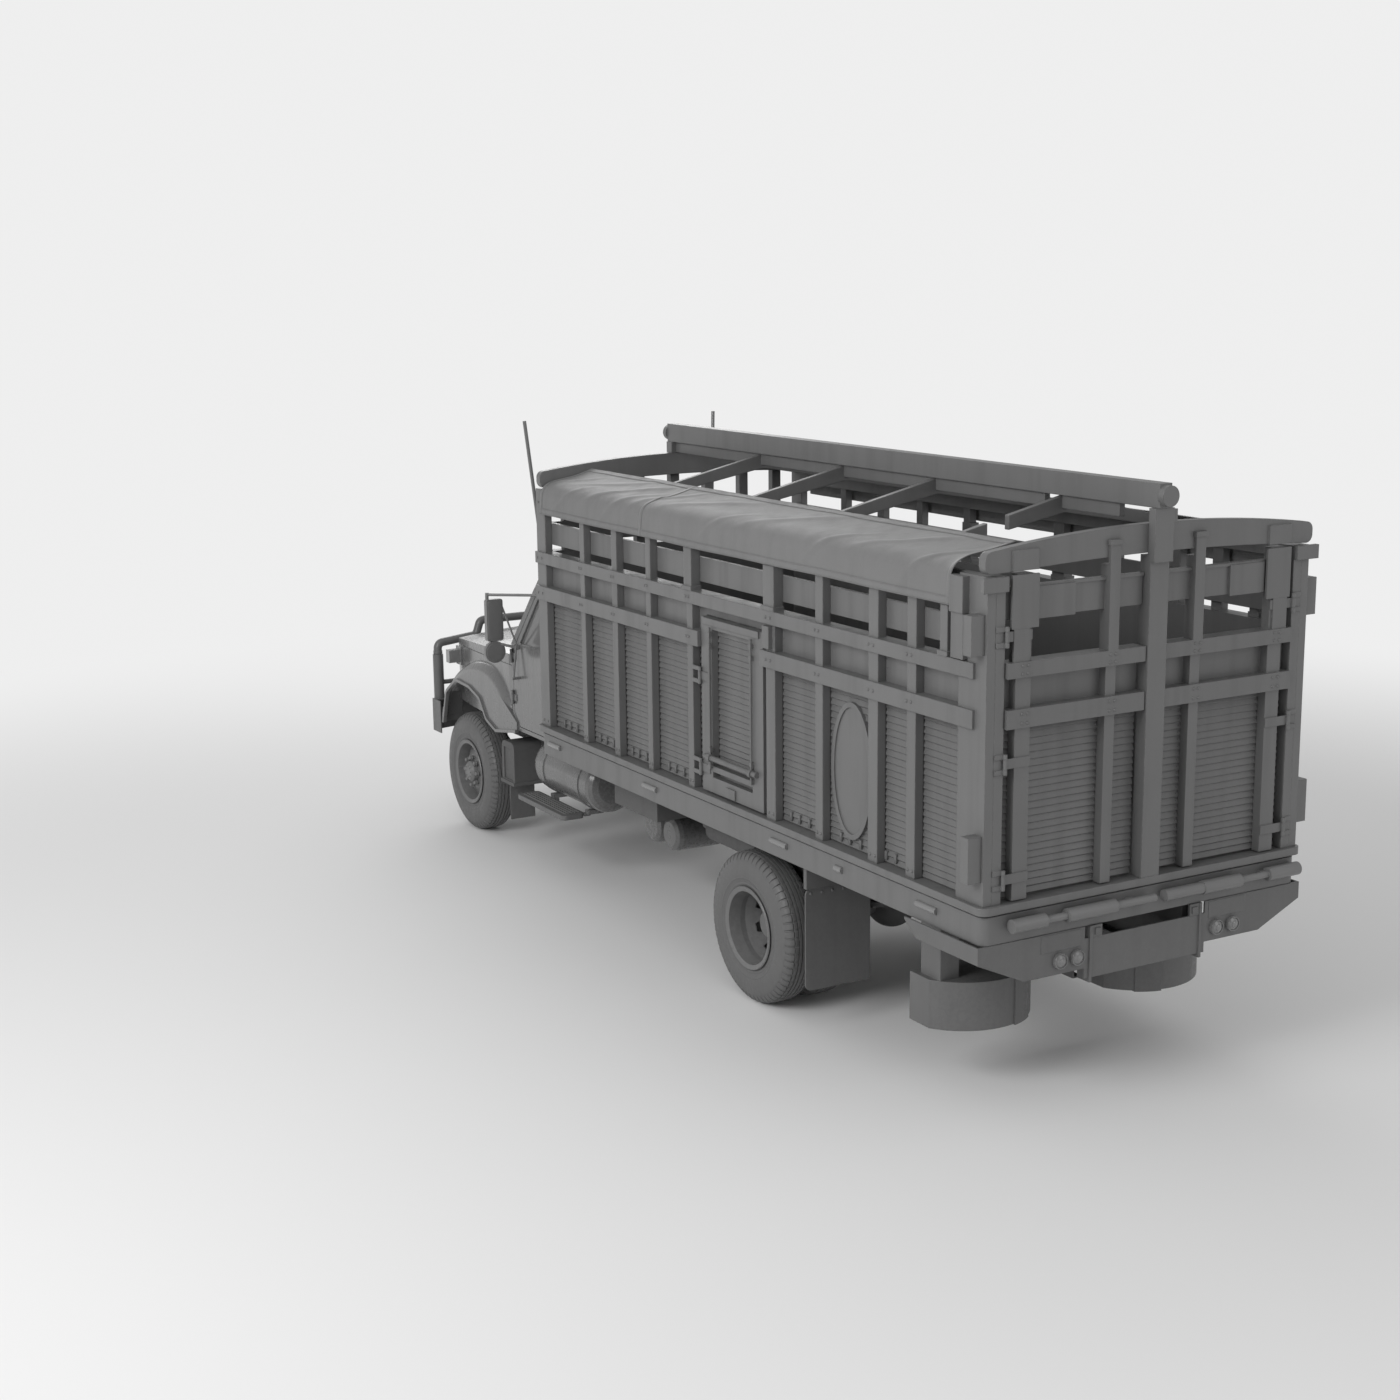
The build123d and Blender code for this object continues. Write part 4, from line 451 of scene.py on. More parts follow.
def all_smooth(mesh):
    """Smooth shading on every face."""
    mesh.polygons.foreach_set("use_smooth", [True] * len(mesh.polygons))


def smooth(mesh, angle=CREASE):
    """Smooth shading that stays sharp at real corners."""
    all_smooth(mesh)
    mesh.set_sharp_from_angle(angle=angle)


def add_piece(name, mesh, slot, body=FRAME_BODY):
    """A finished piece: its mesh, its slot's finish and the body it rides on."""
    mesh.name = name
    if not mesh.materials:
        mesh.materials.append(MATERIALS[slot])
    piece = bpy.data.objects.new(name, mesh)
    bpy.context.collection.objects.link(piece)
    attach(piece, body)
    return piece


def evaluated(obj):
    """The object's mesh with its modifiers applied; the object goes."""
    graph = bpy.context.evaluated_depsgraph_get()
    mesh = bpy.data.meshes.new_from_object(obj.evaluated_get(graph), depsgraph=graph)
    bpy.data.objects.remove(obj)
    return mesh


def held(data):
    """A passing object that holds a mesh or a curve while it is worked on."""
    obj = bpy.data.objects.new("held", data)
    bpy.context.collection.objects.link(obj)
    return obj


def mesh_of(form):
    """A bmesh made into a mesh."""
    mesh = bpy.data.meshes.new("made")
    form.to_mesh(mesh)
    form.free()
    return mesh


def outward_mesh(form):
    """A bmesh made into a mesh, its faces turned outward."""
    bmesh.ops.recalc_face_normals(form, faces=form.faces)
    return mesh_of(form)


def turned(profile, steps):
    """A profile of (radius, height) points turned about +Z; a point at radius 0 closes the pole."""
    form = bmesh.new()
    rings = []
    for radius, height in profile:
        count = 1 if radius < 1e-6 else steps
        ring = []
        for i in range(count):
            angle = 2 * math.pi * i / count
            ring.append(form.verts.new((radius * math.cos(angle), radius * math.sin(angle), height)))
        rings.append(ring)
    for a, b in zip(rings, rings[1:]):
        for i in range(steps):
            j = (i + 1) % steps
            corners = [a[i % len(a)], a[j % len(a)], b[j % len(b)], b[i % len(b)]]
            form.faces.new(list(dict.fromkeys(corners)))
    mesh = outward_mesh(form)
    smooth(mesh)
    return mesh


def turned_shares(radius, shares, steps):
    """A turned form whose profile is given as (share of the radius, height) points."""
    return turned([(radius * share, height) for share, height in shares], steps)


def dome(radius, height, steps):
    """A low round head standing on z = 0."""
    profile = [
        (radius, -0.002), (radius, height * 0.3), (radius * 0.8, height * 0.75), (radius * 0.4, height),
        (0, height),
    ]
    return turned(profile, steps)


def soft_box(low, high, radius, segments=2):
    """A box between two corners with its edges rounded."""
    form = bmesh.new()
    bmesh.ops.create_cube(form, size=1)
    for vert in form.verts:
        vert.co = [a + (c + 0.5) * (b - a) for c, a, b in zip(vert.co, low, high)]
    bmesh.ops.bevel(form, geom=form.edges[:], offset=radius, segments=segments, profile=0.5, affect="EDGES")
    mesh = outward_mesh(form)
    smooth(mesh, SOFT_CREASE)
    return mesh


def swept(points, radius, sides=10, closed=False):
    """A round bar along smooth points."""
    data = bpy.data.curves.new("bar", "CURVE")
    data.dimensions = "3D"
    data.bevel_depth = radius
    data.bevel_resolution = sides // 4
    data.use_fill_caps = not closed
    spline = data.splines.new("NURBS")
    spline.points.add(len(points) - 1)
    for point, place in zip(spline.points, points):
        point.co = (*place, 1)
    spline.use_cyclic_u = closed
    spline.order_u = 3
    spline.use_endpoint_u = not closed
    spline.resolution_u = 6
    mesh = evaluated(held(data))
    mesh.materials.clear()
    smooth(mesh)
    return mesh


def joined(meshes):
    """Several meshes as one."""
    form = bmesh.new()
    for mesh in meshes:
        form.from_mesh(mesh)
    return mesh_of(form)


def moved(mesh, matrix):
    """The mesh turned and carried to its place; a mirror keeps its faces outward."""
    mesh.transform(matrix)
    if matrix.determinant() < 0:
        mesh.flip_normals()
    return mesh


def add_joined(name, meshes, slot, body=FRAME_BODY):
    """Several meshes as one finished piece."""
    mesh = joined(meshes)
    smooth(mesh)
    add_piece(name, mesh, slot, body)


# Geometry Nodes

WELD = 0.00005
TREES = {}


def geometry_tree(name, inputs):
    """A Geometry Nodes tree from Geometry to Geometry, with the named inputs and a Finish."""
    tree = bpy.data.node_groups.new(name, "GeometryNodeTree")
    tree.interface.new_socket("Geometry", in_out="OUTPUT", socket_type="NodeSocketGeometry")
    for label, kind in [("Geometry", "Geometry"), *inputs, ("Finish", "Material")]:
        tree.interface.new_socket(label, in_out="INPUT", socket_type="NodeSocket" + kind)
    return tree, tree.nodes.new("NodeGroupInput"), tree.nodes.new("NodeGroupOutput")


def repeat_on(tree, given, out, points, piece, rotation=None, weld=False):
    """Ends a tree: the piece on each point, made real, welded where asked, with its finish."""
    copies = tree.nodes.new("GeometryNodeInstanceOnPoints")
    tree.links.new(points, copies.inputs["Points"])
    tree.links.new(piece, copies.inputs["Instance"])
    if rotation is not None:
        tree.links.new(rotation, copies.inputs["Rotation"])
    real = tree.nodes.new("GeometryNodeRealizeInstances")
    tree.links.new(copies.outputs[0], real.inputs[0])
    shape = real.outputs[0]
    if weld:
        merge = tree.nodes.new("GeometryNodeMergeByDistance")
        merge.inputs["Distance"].default_value = WELD
        tree.links.new(shape, merge.inputs[0])
        shape = merge.outputs[0]
    finish = tree.nodes.new("GeometryNodeSetMaterial")
    tree.links.new(shape, finish.inputs["Geometry"])
    tree.links.new(given.outputs["Finish"], finish.inputs["Material"])
    tree.links.new(finish.outputs[0], out.inputs[0])
    return tree


def make_ring_tree():
    """Copies of the given mesh turned about +Z, Count to the full turn, welded where they meet."""
    tree, given, out = geometry_tree("ring_of_pieces", [("Count", "Int")])
    line = tree.nodes.new("GeometryNodeMeshLine")
    line.inputs["Offset"].default_value = (0, 0, 0)
    tree.links.new(given.outputs["Count"], line.inputs["Count"])
    index = tree.nodes.new("GeometryNodeInputIndex")
    step = value_of(tree, "DIVIDE", 2 * math.pi, given.outputs["Count"])
    turn = tree.nodes.new("ShaderNodeCombineXYZ")
    tree.links.new(value_of(tree, "MULTIPLY", index.outputs[0], step), turn.inputs["Z"])
    return repeat_on(
        tree, given, out, line.outputs[0], given.outputs["Geometry"], rotation=turn.outputs[0], weld=True)


def make_marks_tree():
    """Copies of the object Piece on every vertex of the given mesh."""
    tree, given, out = geometry_tree("piece_at_marks", [("Piece", "Object")])
    info = tree.nodes.new("GeometryNodeObjectInfo")
    tree.links.new(given.outputs["Piece"], info.inputs[0])
    return repeat_on(tree, given, out, given.outputs["Geometry"], info.outputs["Geometry"])


def make_trees():
    """The trees for what repeats: rings of a piece, and a piece at marks."""
    TREES["ring_of_pieces"] = make_ring_tree()
    TREES["piece_at_marks"] = make_marks_tree()


def repeated(tree_name, mesh, slot, **values):
    """The mesh repeated by one of the trees, as a plain mesh."""
    tree = TREES[tree_name]
    obj = held(mesh)
    modifier = obj.modifiers.new("repeat", "NODES")
    modifier.node_group = tree
    names = {item.name: item.identifier for item in tree.interface.items_tree if item.in_out == "INPUT"}
    values["Finish"] = MATERIALS[slot]
    for label, value in values.items():
        modifier[names[label]] = value
    return evaluated(obj)


def scattered(marks, piece, slot):
    """The piece at each listed place, as a plain mesh."""
    points = bpy.data.meshes.new("marks")
    points.from_pydata(marks, [], [])
    one = held(piece)
    mesh = repeated("piece_at_marks", points, slot, Piece=one)
    bpy.data.objects.remove(one)
    return mesh


def add_scattered(name, marks, piece, slot, body=FRAME_BODY, crease=CREASE):
    """The copies of one form at each listed place, as one finished piece."""
    mesh = scattered(marks, piece, slot)
    smooth(mesh, crease)
    add_piece(name, mesh, slot, body)


# Tyres with their treads

FRONT_X = 3.568
REAR_X = -1.659
HUB_Z = 0.532
FRONT_TYRE_Y = 0.850
TWIN_TYRES_Y = (0.755, 1.069)
TYRE_CREASE = math.radians(32)
TREAD_PITCHES = 60
TREAD_COLUMNS = [
    # share of a pitch, and whether the cross cut is there
    (0.0, 1), (0.2, 1), (0.25, 0), (0.6, 0), (0.95, 0), (1.0, 1),
]
TYRE_HALF = [
    # across from the centre, radius, depth of the cross cut there
    (0.000, 0.5320, 0), (0.013, 0.5320, 0), (0.015, 0.5215, 0), (0.020, 0.5215, 0), (0.022, 0.5318, 0),
    (0.040, 0.5312, 0.003), (0.042, 0.5210, 0), (0.047, 0.5208, 0), (0.049, 0.5305, 0.003),
    (0.070, 0.5280, 0.004), (0.072, 0.5180, 0), (0.077, 0.5170, 0), (0.079, 0.5255, 0.009),
    (0.092, 0.5190, 0.012), (0.104, 0.5070, 0.014), (0.113, 0.4920, 0.012), (0.118, 0.4800, 0.007),
    (0.1195, 0.4740, 0), (0.1230, 0.4700, 0), (0.1265, 0.4550, 0), (0.1310, 0.4300, 0), (0.1340, 0.4050, 0),
    (0.1348, 0.3850, 0), (0.1335, 0.3650, 0), (0.1318, 0.3560, 0), (0.1330, 0.3530, 0), (0.1330, 0.3480, 0),
    (0.1300, 0.3440, 0), (0.1265, 0.3300, 0), (0.1230, 0.3180, 0), (0.1245, 0.3140, 0), (0.1235, 0.3060, 0),
    (0.1190, 0.2960, 0), (0.1150, 0.2810, 0),
]


def wheel_place(x, y, side):
    """From a ring about +Z to the wheel at x, y on the left (1) or right (-1), its face outward."""
    return Matrix.Translation((x, side * y, HUB_Z)) @ outward(side)


def tyre_mesh():
    """A tyre turned from one pitch of its tread, with ribs, shoulder cuts and bead lines."""
    profile = [(-across, radius, cut) for across, radius, cut in reversed(TYRE_HALF[1:])] + TYRE_HALF
    pitch = 2 * math.pi / TREAD_PITCHES
    form = bmesh.new()
    columns = []
    for share, cut_here in TREAD_COLUMNS:
        angle = pitch * share
        column = []
        for across, radius, cut in profile:
            r = radius - cut * cut_here
            column.append(form.verts.new((r * math.cos(angle), r * math.sin(angle), across)))
        columns.append(column)
    for a, b in zip(columns, columns[1:]):
        for i in range(len(profile) - 1):
            form.faces.new((a[i], b[i], b[i + 1], a[i + 1]))
        form.faces.new((a[-1], b[-1], b[0], a[0]))
    whole = repeated("ring_of_pieces", mesh_of(form), "tyre_rubber", Count=TREAD_PITCHES)
    form = bmesh.new()
    form.from_mesh(whole)
    mesh = outward_mesh(form)
    smooth(mesh, TYRE_CREASE)
    return mesh


def make_tyres():
    """The treaded tyres in place of the plain ones: one a side in front, a pair a side behind."""
    plain = tyre_mesh()
    for side, hand in SIDES:
        single = moved(plain.copy(), wheel_place(FRONT_X, FRONT_TYRE_Y, side))
        front = add_piece("tread_front_" + hand, single, "tyre_rubber", "wheel_front_" + hand)
        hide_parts("tyre_front_" + hand)
        twins = joined([moved(plain.copy(), wheel_place(REAR_X, y, side)) for y in TWIN_TYRES_Y])
        rear = add_piece("treads_rear_" + hand, twins, "tyre_rubber", "wheels_rear_" + hand)
        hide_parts("tyres_rear_" + hand)


NUTS_A_RING = 8
# radius of the nuts' ring and its distance from the middle, then the same for the hub's bolts
FRONT_RINGS = (0.125, 0.960, 0.054, 0.990)
REAR_RINGS = (0.135, 0.954, 0.075, 1.005)
CAP_NUT = [
    (0.0235, -0.012), (0.0235, -0.008), (0.0195, -0.006), (0.0195, 0.004), (0.0165, 0.012), (0.0090, 0.017),
    (0, 0.018),
]
HUB_BOLT = (0.008, 0.007, 12)
VALVE = [(0.205, 0, 0.0), (0.215, 0, 0.02), (0.222, 0, 0.05)]
VALVE_RADIUS = 0.0045


def make_wheel_fittings():
    """Cap nuts with washer faces, hub bolts and a valve on each wheel or pair."""
    for body, x, side, (nut_ring, nut_y, bolt_ring, bolt_y) in (
        ("wheel_front_left", FRONT_X, 1, FRONT_RINGS),
        ("wheel_front_right", FRONT_X, -1, FRONT_RINGS),
        ("wheels_rear_left", REAR_X, 1, REAR_RINGS),
        ("wheels_rear_right", REAR_X, -1, REAR_RINGS),
    ):
        parts = []
        rings = ((turned(CAP_NUT, 16), nut_ring, nut_y), (dome(*HUB_BOLT), bolt_ring, bolt_y))
        for piece, radius, y in rings:
            moved(piece, Matrix.Translation((radius, 0, 0)))
            ring = repeated("ring_of_pieces", piece, "wheel_paint", Count=NUTS_A_RING)
            parts.append(moved(ring, wheel_place(x, y, side)))
        parts.append(moved(swept(VALVE, VALVE_RADIUS), wheel_place(x, nut_y - 0.03, side)))
        add_joined("nuts_" + body, parts, "wheel_paint", body)


# Tarpaulins

TARP_REAR, TARP_FRONT = -4.0, 1.35
TARP_LINE = [
    # distance to the side and height, from the roof's edge over the wall's top and down to the hem
    (0.790, 3.4160), (1.155, 3.3340), (1.205, 3.3120), (1.233, 3.2750), (1.241, 3.2200), (1.250, 3.0950),
]
LINE_ROUNDING = 0.022
TARP_CLEAR = 0.004
TARP_WAVES = [
    # height, waves along, waves across, and where in the noise
    (0.005, 1.9, 2.5, 3.0),
    (0.003, 7.0, 6.0, 9.0),
]
TARP_CREASES = [
    # from x and share across, to x and share across, half width, height
    (-0.10, 0.15, 0.60, 0.75, 0.030, 0.010),
    (-0.20, 0.35, 0.35, 0.95, 0.024, 0.008),
    (0.15, 0.05, 1.05, 0.55, 0.034, 0.009),
    (-0.60, 0.10, -0.10, 0.70, 0.028, 0.009),
    (-1.30, 0.15, -0.50, 0.62, 0.032, 0.010),
    (-1.55, 0.45, -1.05, 0.98, 0.022, 0.007),
    (-2.35, 0.10, -1.60, 0.70, 0.034, 0.009),
    (-2.90, 0.35, -2.40, 0.95, 0.024, 0.008),
    (-3.55, 0.15, -2.95, 0.66, 0.030, 0.010),
    (-3.90, 0.30, -3.50, 0.90, 0.024, 0.009),
    (0.70, 0.50, 1.15, 0.98, 0.022, 0.007),
    (0.95, 0.20, 1.32, 0.60, 0.026, 0.008),
]
RIGHT_CREASE_SHIFT = (0.17, -0.06)
BOW_X = (0.070, -1.054, -2.151, -3.448)
SAG, SAG_FROM_BOW, SAG_SHARE = 0.010, 0.22, 0.5
CURL, CURL_LENGTH = 0.020, 0.13
HEM_WANDER = 0.006
CLOTH_THICK = 0.002
HEM_THICK = 0.0022
HEM_ABOVE, SEAM_ABOVE, STITCH_ABOVE = 0.0022, 0.0026, 0.0046
HEM_SHARES = ((0.0, 0.085), (0.925, 1.0))
SEAM_X = (TARP_REAR + 0.02, -0.30, TARP_FRONT - 0.02)
SEAM_HALF = 0.018
STITCH_SHARES = (0.010, 0.074, 0.936, 0.990)
STITCH_PITCH = 0.014
STITCH = ((-0.0045, -0.0011, -0.0008), (0.0045, 0.0011, 0.0008))
POINTS_ALONG, POINTS_ACROSS = 300, 44


def tarp_lengths():
    """How far along the cloth each point of its line lies; the last is the whole width."""
    spans = [0.0]
    for a, b in zip(TARP_LINE, TARP_LINE[1:]):
        spans.append(spans[-1] + math.dist(a, b))
    return spans


TARP_SPANS = tarp_lengths()
TARP_WIDTH = TARP_SPANS[-1]


def along_line(want):
    """The point that far along the cloth's line, kept on the line."""
    want = min(max(want, 0.0), TARP_WIDTH)
    i = next(i for i in range(1, len(TARP_SPANS)) if want <= TARP_SPANS[i] + 1e-9)
    t = (want - TARP_SPANS[i - 1]) / (TARP_SPANS[i] - TARP_SPANS[i - 1])
    a, b = TARP_LINE[i - 1], TARP_LINE[i]
    return Vector((a[0] + t * (b[0] - a[0]), a[1] + t * (b[1] - a[1])))


def tarp_section(share):
    """The point and outward direction at a share of the way across, on a rounded line."""
    want = share * TARP_WIDTH
    steps = [along_line(want + k * LINE_ROUNDING / 3) for k in range(-3, 4)]
    point = sum(steps, Vector((0, 0))) / len(steps)
    if share < 0.04 or share > 0.96:
        point = along_line(want)
    way = (along_line(want + 0.01) - along_line(want - 0.01)).normalized()
    return point, Vector((-way[1], way[0]))


def tarp_lift(x, share, side):
    """How far the cloth stands off its support: soft waves, pulled creases and a curled rear end."""
    lift = TARP_CLEAR
    for height, along, across, seed in TARP_WAVES:
        wave = noise.noise(Vector((x * along, share * across, seed * side)))
        lift += height * (1 + wave) * 0.5
    for x0, s0, x1, s1, wide, high in TARP_CREASES:
        if side < 0:
            x0, x1 = x0 + RIGHT_CREASE_SHIFT[0], x1 + RIGHT_CREASE_SHIFT[1]
        ax, ay = x - x0, (share - s0) * TARP_WIDTH
        bx, by = x1 - x0, (s1 - s0) * TARP_WIDTH
        t = (ax * bx + ay * by) / (bx * bx + by * by)
        if -0.2 < t < 1.2:
            off = abs(ax * by - ay * bx) / math.hypot(bx, by)
            ends = max(0.0, math.sin(math.pi * min(max((t + 0.2) / 1.4, 0), 1)))
            lift += high * ends * math.exp(-(off / wide) ** 2)
    near = min(abs(x - bow) for bow in BOW_X)
    if share < SAG_SHARE:
        between = 1 - math.exp(-(near / SAG_FROM_BOW) ** 2)
        lift -= SAG * between * math.sin(math.pi * share / SAG_SHARE)
    curl = max(0.0, 1 - (x - TARP_REAR) / CURL_LENGTH)
    lift += CURL * curl * curl * math.sin(math.pi * min(share * 1.1, 1))
    return lift


def tarp_point(x, share, side, above):
    """A point of the cloth, above by that much more."""
    point, out = tarp_section(share)
    place = point + out * (tarp_lift(x, share, side) + above)
    drop = HEM_WANDER * noise.noise(Vector((x * 1.3, 5.0, side))) * max(0.0, share - 0.75) * 4
    return (x, side * place[0], place[1] + drop)


def cloth_strip(xs, shares, side, above):
    """A grid of cloth over lists of x and shares across, with a UV map in metres of cloth."""
    form = bmesh.new()
    layer = form.loops.layers.uv.new("cloth")
    rows = [[form.verts.new(tarp_point(x, s, side, above)) for s in shares] for x in xs]
    for i in range(len(xs) - 1):
        for j in range(len(shares) - 1):
            corners = [(i, j), (i + 1, j), (i + 1, j + 1), (i, j + 1)]
            if side > 0:
                corners.reverse()
            face = form.faces.new([rows[a][b] for a, b in corners])
            for loop, (a, b) in zip(face.loops, corners):
                loop[layer].uv = (xs[a], shares[b] * TARP_WIDTH)
    mesh = mesh_of(form)
    all_smooth(mesh)
    return mesh


def thickened(mesh, thick):
    """The sheet with a thickness, grown outward."""
    obj = held(mesh)
    solid = obj.modifiers.new("thick", "SOLIDIFY")
    solid.thickness = thick
    solid.offset = 1
    return evaluated(obj)


def spread(low, high, count):
    """Count evenly spaced numbers from low to high."""
    return [low + (high - low) * i / (count - 1) for i in range(count)]


def stitch_marks(side):
    """The places of the stitches along both edges of both hems."""
    marks = []
    for share in STITCH_SHARES:
        x = TARP_REAR + 0.01
        while x < TARP_FRONT:
            marks.append(tarp_point(x, share, side, STITCH_ABOVE))
            x += STITCH_PITCH
    return marks


def make_tarps():
    """A canvas sheet over the top of each wall, hemmed and stitched, in place of the plain one."""
    xs = spread(TARP_REAR, TARP_FRONT, POINTS_ALONG)
    across = spread(0, 1, POINTS_ACROSS)
    for side, hand in SIDES:
        cloth = thickened(cloth_strip(xs, across, side, 0.0), CLOTH_THICK)
        tarp = add_piece("canvas_" + hand, cloth, "canvas")
        hems = [cloth_strip(xs, spread(low, high, 6), side, HEM_ABOVE) for low, high in HEM_SHARES]
        for x in SEAM_X:
            hems.append(cloth_strip(spread(x - SEAM_HALF, x + SEAM_HALF, 4), across, side, SEAM_ABOVE))
        hem = add_piece("canvas_hems_" + hand, thickened(joined(hems), HEM_THICK), "canvas")
        seam = scattered(stitch_marks(side), soft_box(*STITCH, 0.0006, 1), "canvas")
        seams = add_piece("canvas_stitches_" + hand, seam, "canvas")
        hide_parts("tarp_" + hand)


# Seat pads

PAD_INSET = 0.012
PAD_GRID = 0.012
PAD_PUFF = 0.016
PAD_PRESSURE = 4
PAD_FRAMES = 20
CHANNELS = (-0.54, -0.36, -0.18, 0.0, 0.18, 0.36, 0.54)
CHANNEL_DEEP, CHANNEL_HALF = 0.012, 0.014
UP_AXIS, AHEAD_AXIS = 2, 0
CUSHION = ((1.680, -0.710, 1.345), (2.150, 0.710, 1.488))
BACK = ((1.745, -0.710, 1.500), (1.865, 0.710, 1.970))
BACK_LEAN = -0.135


def puffed(mesh):
    """The pad's mesh after its cloth has swelled under pressure."""
    obj = held(mesh)
    cloth = obj.modifiers.new("cloth", "CLOTH")
    cloth.settings.use_pressure = True
    cloth.settings.uniform_pressure_force = PAD_PRESSURE
    cloth.settings.effector_weights.gravity = 0
    scene = bpy.context.scene
    for step in range(1, PAD_FRAMES + 1):
        scene.frame_set(step)
    swollen = evaluated(obj)
    scene.frame_set(1)
    return swollen


def make_pad(name, low, high, face_axis, lean, fill):
    """A vinyl pad: a rounded block, puffed, then pressed in at the sewn channels of its face."""
    block = held(soft_box([c + PAD_INSET for c in low], [c - PAD_INSET for c in high], 0.03, 3))
    grid = block.modifiers.new("grid", "REMESH")
    grid.mode = "VOXEL"
    grid.voxel_size = PAD_GRID
    mesh = evaluated(block)
    start = [vert.co.copy() for vert in mesh.vertices]
    mesh = puffed(mesh)
    near, far = low[face_axis], high[face_axis]
    for vert, first in zip(mesh.vertices, start):
        puff = vert.co - first
        if puff.length > PAD_PUFF:
            puff = puff.normalized() * PAD_PUFF
        place = first + puff
        face = (place[face_axis] - (near + far) / 2) * 2 / (far - near)
        if face > 0.4:
            for y in CHANNELS:
                place[face_axis] -= CHANNEL_DEEP * math.exp(-((place.y - y) / CHANNEL_HALF) ** 2)
        place.x += lean * (place.z - low[2])
        vert.co = place
    block = held(mesh)
    finer = block.modifiers.new("finer", "SUBSURF")
    finer.levels = 1
    finer.render_levels = 1
    mesh = evaluated(block)
    all_smooth(mesh)
    mesh.materials.clear()
    pad = add_piece(name, mesh, "seat_vinyl")
    return pad


def make_seat():
    """The bench: a cushion and a back, each with sewn channels, in place of the plain block."""
    cushion = make_pad("seat_cushion", *CUSHION, face_axis=UP_AXIS, lean=0.0, fill=0.8)
    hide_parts("seat")
    make_pad("seat_back", *BACK, face_axis=AHEAD_AXIS, lean=BACK_LEAN, fill=0.75)


# Fittings on the walls and gates

RIVET = (0.0055, 0.004, 8)
BOLT = (0.011, 0.007, 10)
GATE_BOLT = (0.010, 0.007, 10)
RIVET_PITCH, RIVET_ROWS = 0.042, 23
WALL_RIVET_FOOT, GATE_RIVET_FOOT = 1.412, 1.42
BOARD_RIVETS_Z = (2.56, 2.61, 2.66)
STAKES = [
    # centre from the box's rear, width
    (5.715, 0.150), (5.005, 0.070), (4.480, 0.080), (3.955, 0.070), (3.355, 0.075), (2.290, 0.110),
    (1.710, 0.085), (1.110, 0.100), (0.715, 0.090),
]
STAKE_BOLTS = [
    # height, distance out from the stake
    (1.43, 0.0), (2.465, 0.02), (2.745, 0.02), (3.18, 0.0),
]
STAKE_TO_RIVET = 0.014
BOX_REAR = -4.300
DOOR_X = (-1.912, -1.084)
DOOR_MIDDLE = 2.9
LAST_RIVET_X = 1.40
PANEL_OUT = 1.160
SLAT_OUT = PANEL_OUT - 0.006
WALL_OUT = 1.220
WIDE_GAP = 0.35
HOOD_SHIFTS = (-0.09, 0.03, 0.13)
HOOD_Z = 1.436
HOOD = ((-0.012, -0.030, -0.010), (0.012, 0.028, 0.010))


def rivet_heights(foot):
    """The heights of one column of rivets."""
    return [foot + RIVET_PITCH * i for i in range(RIVET_ROWS)]


def make_wall_fittings():
    """Rivets down both edges of each stake's boards, drain hoods at the foot and bolts on the stakes."""
    for side, hand in SIDES:
        rivets, hoods, bolts = [], [], []
        for centre, width in STAKES:
            x = BOX_REAR + centre
            for edge in (-1, 1):
                at = x + edge * (width / 2 + STAKE_TO_RIVET)
                if hand == "left" and DOOR_X[0] < at < DOOR_X[1] or at > LAST_RIVET_X:
                    continue
                rivets += [(at, side * SLAT_OUT, z) for z in rivet_heights(WALL_RIVET_FOOT)]
                rivets += [(at, side * PANEL_OUT, z) for z in BOARD_RIVETS_Z]
            for z, out in STAKE_BOLTS:
                bolts += [(x + shift, side * (WALL_OUT + out), z) for shift in (-width / 4, width / 4)]
        centres = sorted(centre for centre, width in STAKES)
        for a, b in zip(centres, centres[1:]):
            if hand == "left" and a < DOOR_MIDDLE < b:
                continue
            middle = (a + b) / 2
            shifts = HOOD_SHIFTS if b - a > WIDE_GAP else HOOD_SHIFTS[:2]
            hoods += [(BOX_REAR + middle + shift, side * PANEL_OUT, HOOD_Z) for shift in shifts]
        for name, marks, piece, slot in (
            ("board_rivets_", rivets, dome(*RIVET), "slat_paint"),
            ("drain_hoods_", hoods, soft_box(*HOOD, 0.004), "slat_paint"),
            ("stake_bolts_", bolts, dome(*BOLT), "body_paint"),
        ):
            add_scattered(name + hand, marks, moved(piece, outward(side)), slot)


GATE_BOLT_X, GATE_RIVET_X = -4.320, -4.236
GATE_STAKES_Y = (0.3235, 0.962)
GATE_BOLTS_Z = (2.437, 2.493, 2.722, 2.768)
GATE_RIVETS_Y = (0.272, 0.375, 0.892)


def make_gate_fittings():
    """Bolts through the gate rails and rivets down the gate boards, riding on each leaf."""
    for side, hand in SIDES:
        body = "gate_" + hand
        bolts = []
        for y in GATE_STAKES_Y:
            for z in GATE_BOLTS_Z:
                bolts += [(GATE_BOLT_X, side * (y + shift), z) for shift in (-0.02, 0.02)]
        add_scattered("gate_bolts_" + hand, bolts, moved(dome(*GATE_BOLT), BACKWARD), "body_paint", body)
        rivets = [(GATE_RIVET_X, side * y, z) for y in GATE_RIVETS_Y for z in rivet_heights(GATE_RIVET_FOOT)]
        add_scattered("gate_rivets_" + hand, rivets, moved(dome(*RIVET), BACKWARD), "slat_paint", body)


# Lamps, mirrors and handles

